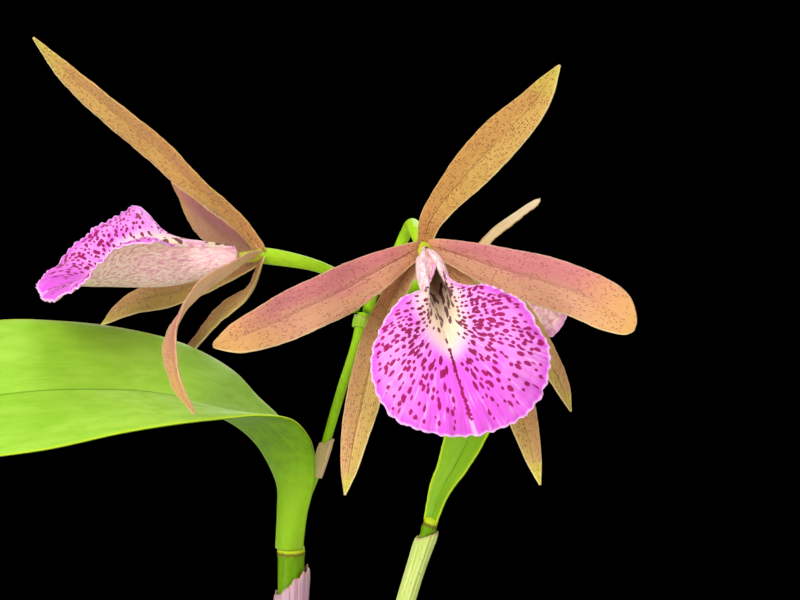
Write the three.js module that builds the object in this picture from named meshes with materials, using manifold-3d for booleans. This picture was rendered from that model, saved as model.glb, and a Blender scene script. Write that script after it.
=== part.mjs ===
// Potted brassocattleya orchid with three open flowers on one stem. Millimetres, +Z up.
// The origin is the middle of the pot's flat base. The viewer stands at -Y, so +X is to the right.
import * as THREE from "three";
import { mergeVertices } from "three/addons/utils/BufferGeometryUtils.js";
import Module from "manifold-3d";

const wasm = await Module();
wasm.setup();

// Driving dimensions
const GAP = 0.3; // clearance between neighbouring pieces

const POT_HEIGHT = 95;
const POT_TOP_RADIUS = 56;
const POT_BASE_RADIUS = 40;
const POT_WALL = 4;
const POT_FLOOR = 6;
const RIM_HEIGHT = 16;
const RIM_OVERHANG = 2.5;
const DRAIN_RADIUS = 4.5;
const DRAIN_CIRCLE = 24;
const DRAIN_COUNT = 4;

const BARK_TOP = 79;
const CHIP_COUNT = 24;

const RHIZOME_Z = 84;
const RHIZOME_RADIUS = 3;
const ROOT_RADIUS = 1.3;
const CANE_FOOT_Z = RHIZOME_Z + RHIZOME_RADIUS + GAP;
const LEFT_CANE_TOP_Z = 187.7;
const SHEATH_WALL = 0.7;

const LEAF_THICKNESS = 1.5;
const TEPAL_THICKNESS = 0.9;
const LIP_THICKNESS = 0.8;

const STEM_RADIUS = 1.2;
const PEDICEL_RADIUS = 1.4;
const OVARY_RADIUS = 2.1;

// Small helpers
const vec = (p) => new THREE.Vector3(p[0], p[1], p[2]);
const smoothCurve = (points) => new THREE.CatmullRomCurve3(points.map(vec), false, "centripetal");
const lerp = THREE.MathUtils.lerp;
const degrees = THREE.MathUtils.degToRad;

// Repeatable random numbers between 0 and 1.
function seededRandom(seed) {
  let state = seed;
  return () => {
    state = (state * 1664525 + 1013904223) % 4294967296;
    return state / 4294967296;
  };
}

// Smooth value at t (0 to 1) through evenly spaced values.
function profile(values, t) {
  const last = values.length - 1;
  const x = Math.min(Math.max(t, 0), 1) * last;
  const i = Math.min(Math.floor(x), last - 1);
  const f = x - i;
  const a = values[Math.max(i - 1, 0)];
  const b = values[i];
  const c = values[i + 1];
  const d = values[Math.min(i + 2, last)];
  const bend = 2 * a - 5 * b + 4 * c - d + f * (3 * (b - c) + d - a);
  return b + 0.5 * f * (c - a + f * bend);
}

function geometryFrom(positions, index) {
  const geometry = new THREE.BufferGeometry();
  geometry.setAttribute("position", new THREE.Float32BufferAttribute(positions, 3));
  geometry.setIndex(index);
  geometry.computeVertexNormals();
  return geometry;
}

// A closed sheet of a given thickness round a grid of points, grid[row][column]. Both faces are split alike.
// closedAcross joins the last column to the first, which makes a sleeve.
function sheet(grid, thickness, closedAcross = false) {
  const rows = grid.length;
  const columns = grid[0].length;
  const at = (r, c) => {
    const row = grid[Math.min(Math.max(r, 0), rows - 1)];
    return row[closedAcross ? (c + columns) % columns : Math.min(Math.max(c, 0), columns - 1)];
  };
  const positions = [];
  for (const side of [0.5, -0.5]) {
    for (let r = 0; r < rows; r++) {
      for (let c = 0; c < columns; c++) {
        const across = at(r, c + 1).clone().sub(at(r, c - 1));
        const along = at(r + 1, c).clone().sub(at(r - 1, c));
        const normal = across.cross(along).normalize();
        const thick = typeof thickness === "function" ? thickness(r, c) : thickness;
        positions.push(...at(r, c).clone().addScaledVector(normal, side * thick));
      }
    }
  }
  const front = (r, c) => r * columns + ((c + columns) % columns);
  const back = (r, c) => front(r, c) + rows * columns;
  const index = [];
  const quad = (a, b, c, d) => index.push(a, b, c, a, c, d);
  const lastCell = closedAcross ? columns : columns - 1;
  for (let r = 0; r < rows - 1; r++) {
    for (let c = 0; c < lastCell; c++) {
      quad(front(r, c), front(r, c + 1), front(r + 1, c + 1), front(r + 1, c));
      index.push(back(r, c), back(r + 1, c + 1), back(r, c + 1));
      index.push(back(r, c), back(r + 1, c), back(r + 1, c + 1));
    }
  }
  for (let c = 0; c < lastCell; c++) {
    quad(front(0, c + 1), front(0, c), back(0, c), back(0, c + 1));
    quad(front(rows - 1, c), front(rows - 1, c + 1), back(rows - 1, c + 1), back(rows - 1, c));
  }
  if (!closedAcross) {
    for (let r = 0; r < rows - 1; r++) {
      quad(front(r, 0), front(r + 1, 0), back(r + 1, 0), back(r, 0));
      quad(front(r + 1, columns - 1), front(r, columns - 1), back(r, columns - 1), back(r + 1, columns - 1));
    }
  }
  return geometryFrom(positions, index);
}

// Axes of a curve at t: its direction, a sideways axis and an upward axis that turn smoothly along it.
function frameAt(curve, t, reference) {
  const tangent = curve.getTangentAt(t);
  const side = tangent.clone().cross(reference).normalize();
  const up = side.clone().cross(tangent).normalize();
  return { point: curve.getPointAt(t), tangent, side, up };
}

// A rod of changing radius along a curve, closed at both ends.
function rod(curve, radiusAt, sides, steps, reference = new THREE.Vector3(0.2, 1, 0.1)) {
  const positions = [];
  const index = [];
  for (let i = 0; i <= steps; i++) {
    const t = i / steps;
    const { point, side, up } = frameAt(curve, t, reference);
    for (let k = 0; k < sides; k++) {
      const angle = (2 * Math.PI * k) / sides;
      const out = side.clone().multiplyScalar(Math.cos(angle)).addScaledVector(up, Math.sin(angle));
      positions.push(...point.clone().addScaledVector(out, radiusAt(t)));
    }
  }
  const ring = (i, k) => i * sides + (k % sides);
  for (let i = 0; i < steps; i++) {
    for (let k = 0; k < sides; k++) {
      index.push(ring(i, k), ring(i, k + 1), ring(i + 1, k + 1));
      index.push(ring(i, k), ring(i + 1, k + 1), ring(i + 1, k));
    }
  }
  const foot = positions.length / 3;
  positions.push(...curve.getPointAt(0), ...curve.getPointAt(1));
  for (let k = 0; k < sides; k++) {
    index.push(foot, ring(0, k + 1), ring(0, k));
    index.push(foot + 1, ring(steps, k), ring(steps, k + 1));
  }
  const geometry = geometryFrom(positions, index);
  return outward(geometry);
}

// Signed volume of a closed geometry; turns it round when its faces point inwards.
function outward(geometry) {
  const p = geometry.attributes.position;
  const index = geometry.index.array;
  let volume = 0;
  for (let i = 0; i < index.length; i += 3) {
    const a = new THREE.Vector3().fromBufferAttribute(p, index[i]);
    const b = new THREE.Vector3().fromBufferAttribute(p, index[i + 1]);
    const c = new THREE.Vector3().fromBufferAttribute(p, index[i + 2]);
    volume += a.dot(b.cross(c));
  }
  if (volume < 0) {
    for (let i = 0; i < index.length; i += 3) {
      const kept = index[i + 1];
      index[i + 1] = index[i + 2];
      index[i + 2] = kept;
    }
    geometry.computeVertexNormals();
  }
  return geometry;
}

// Joining and cutting
function solidFrom(geometry) {
  const bare = geometry.clone();
  bare.deleteAttribute("normal");
  if (bare.hasAttribute("uv")) bare.deleteAttribute("uv");
  const merged = mergeVertices(bare, 1e-4);
  return new wasm.Manifold(
    new wasm.Mesh({
      numProp: 3,
      vertProperties: new Float32Array(merged.attributes.position.array),
      triVerts: new Uint32Array(merged.index.array),
    }),
  );
}

function geometryOf(solid) {
  const mesh = solid.getMesh();
  return geometryFrom(Array.from(mesh.vertProperties), Array.from(mesh.triVerts));
}

function largestBody(solid) {
  return solid.decompose().reduce((best, body) => (body.volume() > best.volume() ? body : best));
}

// The exported group and its materials
const plant = new THREE.Group();

function material(color, roughness) {
  return new THREE.MeshStandardMaterial({ color, roughness, metalness: 0 });
}

const TERRACOTTA = material(0xb5653f, 0.9);
const BARK = material(0x6b4328, 0.95);
const ROOT = material(0xb9b59a, 0.8);
const CANE = material(0x7aa018, 0.45);
const DRY_SHEATH = material(0xc8a8b0, 0.7);
const GREEN_SHEATH = material(0xbccb66, 0.55);
const LEAF = material(0x8fc332, 0.4);
const STEM = material(0x93c41f, 0.4);
const SPATHE = material(0xa98b6c, 0.75);
const SEPAL = material(0xbf9650, 0.55);
const PETAL = material(0xc98a66, 0.55);
const LIP = material(0xe07ae0, 0.5);
const COLUMN = material(0xbfc84a, 0.45);

function addPiece(name, geometry, look) {
  const mesh = new THREE.Mesh(geometry, look);
  mesh.name = name;
  plant.add(mesh);
}

// Pot: a plain tapered pot with a raised rim and four drain holes off the middle of its floor
function potRadius(z) {
  return lerp(POT_BASE_RADIUS, POT_TOP_RADIUS, z / POT_HEIGHT);
}

function makePot() {
  const rimFoot = POT_HEIGHT - RIM_HEIGHT;
  const outline = [
    [0, 0],
    [POT_BASE_RADIUS - 1, 0],
    [POT_BASE_RADIUS, 1],
    [potRadius(rimFoot), rimFoot],
    [potRadius(rimFoot) + RIM_OVERHANG, rimFoot + 1.5],
    [POT_TOP_RADIUS + RIM_OVERHANG, POT_HEIGHT - 1.5],
    [POT_TOP_RADIUS + RIM_OVERHANG - 1.5, POT_HEIGHT],
    [POT_TOP_RADIUS - POT_WALL + 1.5, POT_HEIGHT],
    [POT_TOP_RADIUS - POT_WALL, POT_HEIGHT - 1.5],
    [potRadius(POT_FLOOR) - POT_WALL, POT_FLOOR],
    [0, POT_FLOOR],
  ];
  const lathe = new THREE.LatheGeometry(
    outline.map(([radius, z]) => new THREE.Vector2(radius, z)),
    40,
  );
  lathe.rotateX(Math.PI / 2);
  let pot = solidFrom(closedLathe(lathe));
  for (let k = 0; k < DRAIN_COUNT; k++) {
    const angle = ((k + 0.5) * 2 * Math.PI) / DRAIN_COUNT;
    const drill = new THREE.CylinderGeometry(DRAIN_RADIUS, DRAIN_RADIUS, POT_FLOOR * 3, 12);
    drill.rotateX(Math.PI / 2);
    drill.translate(DRAIN_CIRCLE * Math.cos(angle), DRAIN_CIRCLE * Math.sin(angle), POT_FLOOR / 2);
    pot = pot.subtract(solidFrom(drill));
  }
  return geometryOf(pot);
}

// A lathe whose doubled seam and axis points are merged and whose faces point out.
function closedLathe(lathe) {
  const bare = lathe.clone();
  bare.deleteAttribute("normal");
  bare.deleteAttribute("uv");
  const merged = mergeVertices(bare, 1e-4);
  const old = merged.index.array;
  const index = [];
  for (let i = 0; i < old.length; i += 3) {
    const [a, b, c] = [old[i], old[i + 1], old[i + 2]];
    if (a !== b && b !== c && c !== a) index.push(a, b, c);
  }
  return outward(geometryFrom(Array.from(merged.attributes.position.array), index));
}

// Rhizome: a creeping rootstock that carries the canes, with aerial roots that run over the bark and
// dive into it
const RHIZOME_POINTS = [
  [-27, -4, RHIZOME_Z],
  [-16, -2, RHIZOME_Z],
  [-5.4, 0, RHIZOME_Z],
  [6.3, 6, RHIZOME_Z],
  [15, 11, RHIZOME_Z + 1.5],
];
const ROOT_ROUTES = [
  [[-14, -3, 84], [-17, -12, 85], [-26, -22, 84], [-33, -28, 78], [-35, -30, 70]],
  [[-6, -1, 84], [-4, -12, 85.5], [2, -24, 84.5], [4, -35, 79], [4, -38, 70]],
  [[2, 4, 84], [10, -4, 85], [21, -11, 84.5], [31, -20, 80], [35, -23, 70]],
  [[10, 9, 84.5], [22, 10, 85], [34, 8, 82], [41, 9, 74]],
  [[-2, 3, 84], [-5, 14, 85.5], [-10, 27, 84], [-12, 36, 78], [-12, 38, 70]],
  [[8, 8, 84], [9, 20, 85], [15, 31, 82], [17, 35, 73]],
  [[-22, -3, 84], [-31, 4, 85], [-39, 12, 82], [-42, 15, 73]],
];

function makeRhizome(grown) {
  const steps = 18;
  const knuckle = (t) => RHIZOME_RADIUS * (0.94 + 0.08 * Math.sin(t * 40)) + grown;
  let body = solidFrom(rod(smoothCurve(RHIZOME_POINTS), knuckle, 10, steps, new THREE.Vector3(0, 0, 1)));
  for (const route of ROOT_ROUTES) {
    const radius = (t) => ROOT_RADIUS * (1 - 0.25 * t) + grown;
    body = body.add(solidFrom(rod(smoothCurve(route), radius, 5, 7, new THREE.Vector3(0, 0.01, 1))));
  }
  return body;
}

// Bark: fills the pot up to under the rim, its top covered with tumbled chips, cut free of rhizome and roots
function makeBark() {
  const random = seededRandom(7);
  const floorZ = POT_FLOOR + GAP;
  const wallRadius = (z) =>
    lerp(potRadius(POT_FLOOR), POT_TOP_RADIUS, (z - POT_FLOOR) / (POT_HEIGHT - POT_FLOOR));
  const topRadius = wallRadius(BARK_TOP) - POT_WALL - GAP;
  const outline = [
    [0, floorZ],
    [wallRadius(floorZ) - POT_WALL - GAP, floorZ],
    [topRadius, BARK_TOP],
    [topRadius * 0.6, BARK_TOP + 1.5],
    [0, BARK_TOP + 2],
  ];
  const lathe = new THREE.LatheGeometry(
    outline.map(([radius, z]) => new THREE.Vector2(radius, z)),
    40,
  );
  lathe.rotateX(Math.PI / 2);
  let bark = solidFrom(closedLathe(lathe));
  for (let k = 0; k < CHIP_COUNT; k++) {
    const ring = Math.sqrt((k + 0.5) / CHIP_COUNT);
    const angle = k * 2.39996 + random() * 0.5;
    const chip = new THREE.BoxGeometry(12 + random() * 9, 8 + random() * 4, 4 + random() * 2);
    chip.rotateX((random() - 0.5) * 0.7);
    chip.rotateY((random() - 0.5) * 0.7);
    chip.rotateZ(random() * Math.PI);
    const reach = ring * (topRadius - 12);
    chip.translate(reach * Math.cos(angle), reach * Math.sin(angle), BARK_TOP + 1.5 + random() * 1.5);
    bark = bark.add(solidFrom(chip));
  }
  bark = bark.subtract(makeRhizome(GAP));
  return geometryOf(largestBody(bark));
}

// Canes: slim stems that stand on the rhizome; each bears one leaf on its top
const LEFT_CANE = smoothCurve([
  [-5.4, 0, CANE_FOOT_Z],
  [-6.7, 0, 124],
  [-7.3, 0, 155],
  [-7.2, 0, LEFT_CANE_TOP_Z],
]);
const SECOND_CANE = smoothCurve([
  [6.3, 6, CANE_FOOT_Z],
  [10.8, 6, 122.8],
  [16.3, 6, 155.6],
  [20.7, 6, 173.1],
  [24.1, 6, 184.3],
  [27, 6, 193.4],
]);
const OLD_CANE = smoothCurve([
  [-22, -3, CANE_FOOT_Z],
  [-24, -3, 105],
  [-27.5, -4, 128],
  [-30, -4.5, 139],
]);
const leftCaneRadius = (t) => profile([2.4, 3.1, 3.7, 3.8, 3.6, 3.35, 3.2, 3.2, 3.2], t);
const secondCaneRadius = (t) => profile([1.7, 1.9, 2.1, 2.0, 1.75, 1.5, 1.35, 1.35, 1.7], t);
const oldCaneRadius = (t) => profile([2.2, 3.2, 3.7, 3.4, 2.6], t);

// A papery sheath round a cane from t0 to t1 along it. The edge of its mouth dips by "dip" on one side.
function caneSheath(curve, radiusAt, t0, t1, dip, dipAngle, sides = 12, steps = 7) {
  const length = curve.getLength();
  const grid = [];
  for (let i = 0; i <= steps; i++) {
    const row = [];
    for (let k = 0; k < sides; k++) {
      const angle = (2 * Math.PI * k) / sides;
      const fall = (dip / length) * (0.5 + 0.5 * Math.cos(angle - dipAngle)) * (i / steps);
      const t = lerp(t0, t1, i / steps) - fall;
      const { point, side, up } = frameAt(curve, t, new THREE.Vector3(0, 1, 0));
      const out = side.clone().multiplyScalar(Math.cos(angle)).addScaledVector(up, Math.sin(angle));
      row.push(point.addScaledVector(out, radiusAt(t) + GAP + SHEATH_WALL / 2));
    }
    grid.push(row);
  }
  return outward(sheet(grid, SHEATH_WALL, true));
}

// Leaves. The left leaf is given by cross-sections: near edge, midrib, far edge. It is folded like a
// channel where it rises round the flower stem, and opens as it arches over to the left.
const LEFT_LEAF_SECTIONS = [
  [[-4.4, -1.9, 188.1], [-10.3, 0, 188.1], [-4.4, 2.2, 188.1]],
  [[-3.1, -6, 196.9], [-9.8, -1, 196.9], [-4.2, 6, 196.4]],
  [[-1.4, -10, 204.5], [-9.8, -2, 203], [-3.7, 9, 203]],
  [[-1, -13, 211.4], [-11.6, -3, 208.3], [-4.7, 11, 208.9]],
  [[-2.3, -17, 217.4], [-14.9, -5, 214.3], [-7.2, 12, 213.5]],
  [[-6.2, -20.5, 222.3], [-19.3, -7, 218.8], [-10.9, 12.5, 217.9]],
  [[-13.2, -24, 224], [-24.5, -9, 222], [-15.5, 12, 222.4]],
  [[-21, -27, 223.9], [-30.8, -11, 224.8], [-21.3, 11.5, 228.7]],
  [[-32.9, -31, 223.2], [-39.6, -14, 227.2], [-31.9, 10, 235.1]],
  [[-45.3, -34, 221.6], [-49.8, -17, 228.4], [-44, 6.5, 239.3]],
  [[-61.7, -38, 218.6], [-64.9, -20, 228.7], [-61.4, 2, 242.4]],
  [[-77.8, -39, 216.4], [-79.5, -22, 227.1], [-79.1, -2, 243]],
  [[-93, -36, 213.3], [-93.4, -24, 223.7], [-94.2, -8, 239]],
  [[-105.4, -31, 209.5], [-105.2, -24, 217.2], [-106.4, -14, 230.8]],
  [[-113.3, -24.2, 208.6], [-113.3, -23, 209.9], [-113.4, -21.8, 211.2]],
];
// How far each half of the section bulges away from the channel's inside, at even steps along the leaf.
const LEFT_LEAF_BULGE = [2.3, 2, 1.4, 0.8, 0.2, -0.6, -1, -1.2, -1.2, -1, -0.2];

function makeLeftLeaf(rows, halfColumns) {
  const [near, mid, far] = [0, 1, 2].map((k) => smoothCurve(LEFT_LEAF_SECTIONS.map((s) => s[k])));
  const grid = [];
  for (let i = 0; i <= rows; i++) {
    const t = i / rows;
    const [a, m, b] = [near.getPoint(t), mid.getPoint(t), far.getPoint(t)];
    const inside = a.clone().add(b).multiplyScalar(0.5).sub(m);
    const bulge = profile(LEFT_LEAF_BULGE, t);
    const halfRow = (edge) => {
      const chord = edge.clone().sub(m);
      const along = inside.dot(chord) / chord.lengthSq();
      const out = inside.clone().addScaledVector(chord, -along).normalize().negate();
      if (!Number.isFinite(out.x) || out.lengthSq() < 0.5) out.set(0, 0, -1);
      const points = [];
      for (let k = 0; k <= halfColumns; k++) {
        const s = k / halfColumns;
        points.push(m.clone().addScaledVector(chord, s).addScaledVector(out, 4 * s * (1 - s) * bulge));
      }
      return points;
    };
    const nearHalf = halfRow(a).reverse();
    const farHalf = halfRow(b).slice(1);
    grid.push([...nearHalf, ...farHalf]);
  }
  return outward(sheet(grid, (r, c) => LEAF_THICKNESS * (1 - 0.35 * Math.abs(c / halfColumns - 1))));
}

// A blade along a midrib: half widths at even steps, the sides its face looks to at its foot and at its
// tip, a cup that raises both edges, and a wave of the edges.
function blade(spec) {
  const { points, halfWidth, widths, face, tipFace = face, tipLength = 0.1 } = spec;
  const { cup = 0.12, wave = 0, waves = 3 } = spec;
  const { thickness = TEPAL_THICKNESS, rows = 12, columns = 4 } = spec;
  const curve = smoothCurve(points);
  const grid = [];
  for (let i = 0; i <= rows; i++) {
    const t = i / rows;
    const tangent = curve.getTangentAt(t);
    const facing = vec(face).normalize().lerp(vec(tipFace).normalize(), t);
    const side = tangent.clone().cross(facing).normalize();
    const normal = side.clone().cross(tangent);
    const intoTip = Math.max(0, (t - 1 + tipLength) / tipLength);
    const width = Math.max(0.35, halfWidth * profile(widths, t) * Math.sqrt(1 - 0.995 * intoTip ** 2));
    const row = [];
    for (let k = 0; k <= columns; k++) {
      const u = (2 * k) / columns - 1;
      const ripple = wave * Math.sin(waves * 2 * Math.PI * t) * Math.min(1, 4 * t);
      const lift = cup * width * u * u + ripple * u * Math.abs(u);
      row.push(curve.getPointAt(t).addScaledVector(side, u * width).addScaledVector(normal, lift));
    }
    grid.push(row);
  }
  return outward(sheet(grid, thickness));
}

const SECOND_LEAF = {
  points: [
    [27.3, 6, 194.1],
    [29.5, 7, 200.3],
    [33.2, 8, 206.8],
    [37, 10, 214.6],
    [39.9, 12, 222.9],
    [41.9, 13, 232.6],
    [43.1, 14, 242.3],
  ],
  halfWidth: 6.6,
  widths: [0.3, 0.42, 0.58, 0.8, 0.95, 1, 0.92, 0.66, 0.2],
  face: [-0.5, -0.8, 0.2],
  cup: 0.45,
  thickness: 1.2,
  rows: 14,
};

// Flowers. Each flower has its own centre, where its parts meet; all its points are measured from there.
const SEPAL_WIDTHS = [0.36, 0.56, 0.74, 0.9, 1, 0.98, 0.84, 0.56, 0.2];
const PETAL_WIDTHS = [0.3, 0.56, 0.82, 0.96, 1, 0.99, 0.9, 0.7, 0.35];
const BLUNT_WIDTHS = [0.29, 0.5, 0.72, 0.86, 0.97, 1, 0.98, 0.92, 0.72];
const TO_VIEWER = [0, -0.99, 0.14];

// Lip: a trumpet. Its foot wraps round the column as a tube that is open along the top; its mouth flares
// into a round blade. It is drawn as rays from the foot to the rim. Each ray has its angle round the tube,
// where 0 is the tip below, its point on the mouth's edge and its point on the rim, both as right, up and
// forward from the flower's centre. The first and the last ray are the free edges of the tube's slit.
const LIP_FOOT_DISTANCE = 5;
const LIP_FOOT_RADIUS = 2.5;
const LIP_TUBE_HALF_WIDTH = 3.3;
const LIP_TUBE_HALF_HEIGHT = 4.9;
const MOUTH_DROP = 13.3;
const MOUTH_FORWARD = 27;
const MOUTH_SAG = 1.8;
const BLADE_HUMP = 4.2;
const LIP_ROW_PLACES = [0, 0.14, 0.28, 0.4, 0.5, 0.6, 0.73, 0.87, 1];

const OPEN_LIP_RAYS = [
  [-172, [0.4, -0.9, 7.6], [0.4, -1.6, 9.2]],
  [-172, [1.2, -3.2, 12.4], [1.5, -4.2, 13.6]],
  [-172, [0.4, -6.0, 16.6], [0.6, -6.4, 18.6]],
  [-171, [-0.9, -8.2, 19.2], [-0.7, -8.1, 21.2]],
  [-161, [-1.9, -9.6, 21.5], [-2.5, -9.5, 23.4]],
  [-157, [-2.2, -10.3, 23.4], [-5.0, -9.9, 25.0]],
  [-146, [-2.6, -11.6, 24.4], [-8.9, -10.6, 25.2]],
  [-126, [-3.0, -13.4, 25.0], [-13.9, -14.8, 25.6]],
  [-101, [-3.3, -15.0, 25.2], [-17.9, -20.2, 25.6]],
  [-76, [-3.4, -16.5, 25.4], [-19.5, -25.0, 25.2]],
  [-56, [-3.2, -17.9, 25.6], [-19.4, -31.2, 24.6]],
  [-39, [-2.8, -19.3, 25.8], [-17.0, -37.0, 24.0]],
  [-25, [-2.3, -20.9, 26.0], [-12, -41, 23.6]],
  [-14, [-1.7, -22.5, 26.2], [-5.8, -44.1, 23.6]],
  [-6, [-0.8, -24.0, 26.4], [0.2, -45.5, 23.8]],
  [3, [0.4, -23.6, 26.0], [5.9, -45.4, 23.6]],
  [10, [1.4, -22.8, 25.4], [12.0, -44.1, 23.8]],
  [20, [2.2, -21.6, 24.6], [16.9, -40.7, 24.4]],
  [31, [2.9, -20.2, 23.8], [20.5, -35.2, 25.0]],
  [45, [3.3, -18.9, 23.0], [21.6, -29.8, 25.6]],
  [61, [3.5, -17.6, 22.4], [20.4, -24.8, 25.6]],
  [86, [3.7, -15.9, 21.8], [18.7, -18.7, 25.4]],
  [111, [3.7, -14.2, 21.2], [15.7, -15.6, 25.2]],
  [131, [3.6, -12.6, 20.6], [11.8, -12.5, 24.8]],
  [145, [3.3, -11.1, 19.8], [8.2, -11.8, 24.0]],
  [156, [2.7, -9.4, 18.6], [5.0, -10.2, 22.4]],
  [167, [2.2, -6.8, 16.0], [3.2, -7.9, 19.2]],
  [172, [1.8, -3.6, 12.0], [2.0, -4.9, 14.2]],
  [172, [0.9, -0.9, 7.6], [1.0, -1.6, 9.0]],
];

// Half of a lip whose blade stands steeply on its tube, from the tip to the slit. The other half mirrors it.
const STEEP_LIP_HALF = [
  [0, [0, -34.8, 20.5], [0, -46.6, 27.8]],
  [10, [1.6, -34.4, 20.3], [6.4, -46.4, 27.8]],
  [21, [3, -33.6, 20.1], [13, -45, 27.4]],
  [33, [4.1, -32.4, 20], [17.6, -42.6, 27]],
  [46, [4.9, -30.8, 19.9], [19.4, -38.6, 26.8]],
  [60, [5.5, -28.8, 20], [18.6, -34, 27.2]],
  [74, [5.8, -26.6, 20.3], [17.6, -29.5, 27.6]],
  [88, [5.8, -24.4, 20.7], [18.2, -25.3, 27.6]],
  [103, [5.6, -22, 20.6], [20.4, -20.5, 26.1]],
  [118, [5.2, -19, 19.5], [20.6, -16.1, 23.8]],
  [133, [4.4, -15.7, 17.3], [13, -15.1, 19.4]],
  [146, [3.4, -12.7, 14.6], [7.5, -14.6, 17.6]],
  [158, [2.4, -9.4, 11.6], [2.2, -12, 13.9]],
  [167, [1.4, -6.2, 8.3], [1.2, -8.3, 9.8]],
  [172, [0.6, -3.8, 5.9], [0.6, -4.4, 6.5]],
];
const flipped = ([x, y, n]) => [-x, y, n];
const mirrored = ([angle, mouth, rim]) => [-angle, flipped(mouth), flipped(rim)];
const STEEP_LIP_RAYS = [...STEEP_LIP_HALF.slice(1).reverse().map(mirrored), ...STEEP_LIP_HALF];

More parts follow.
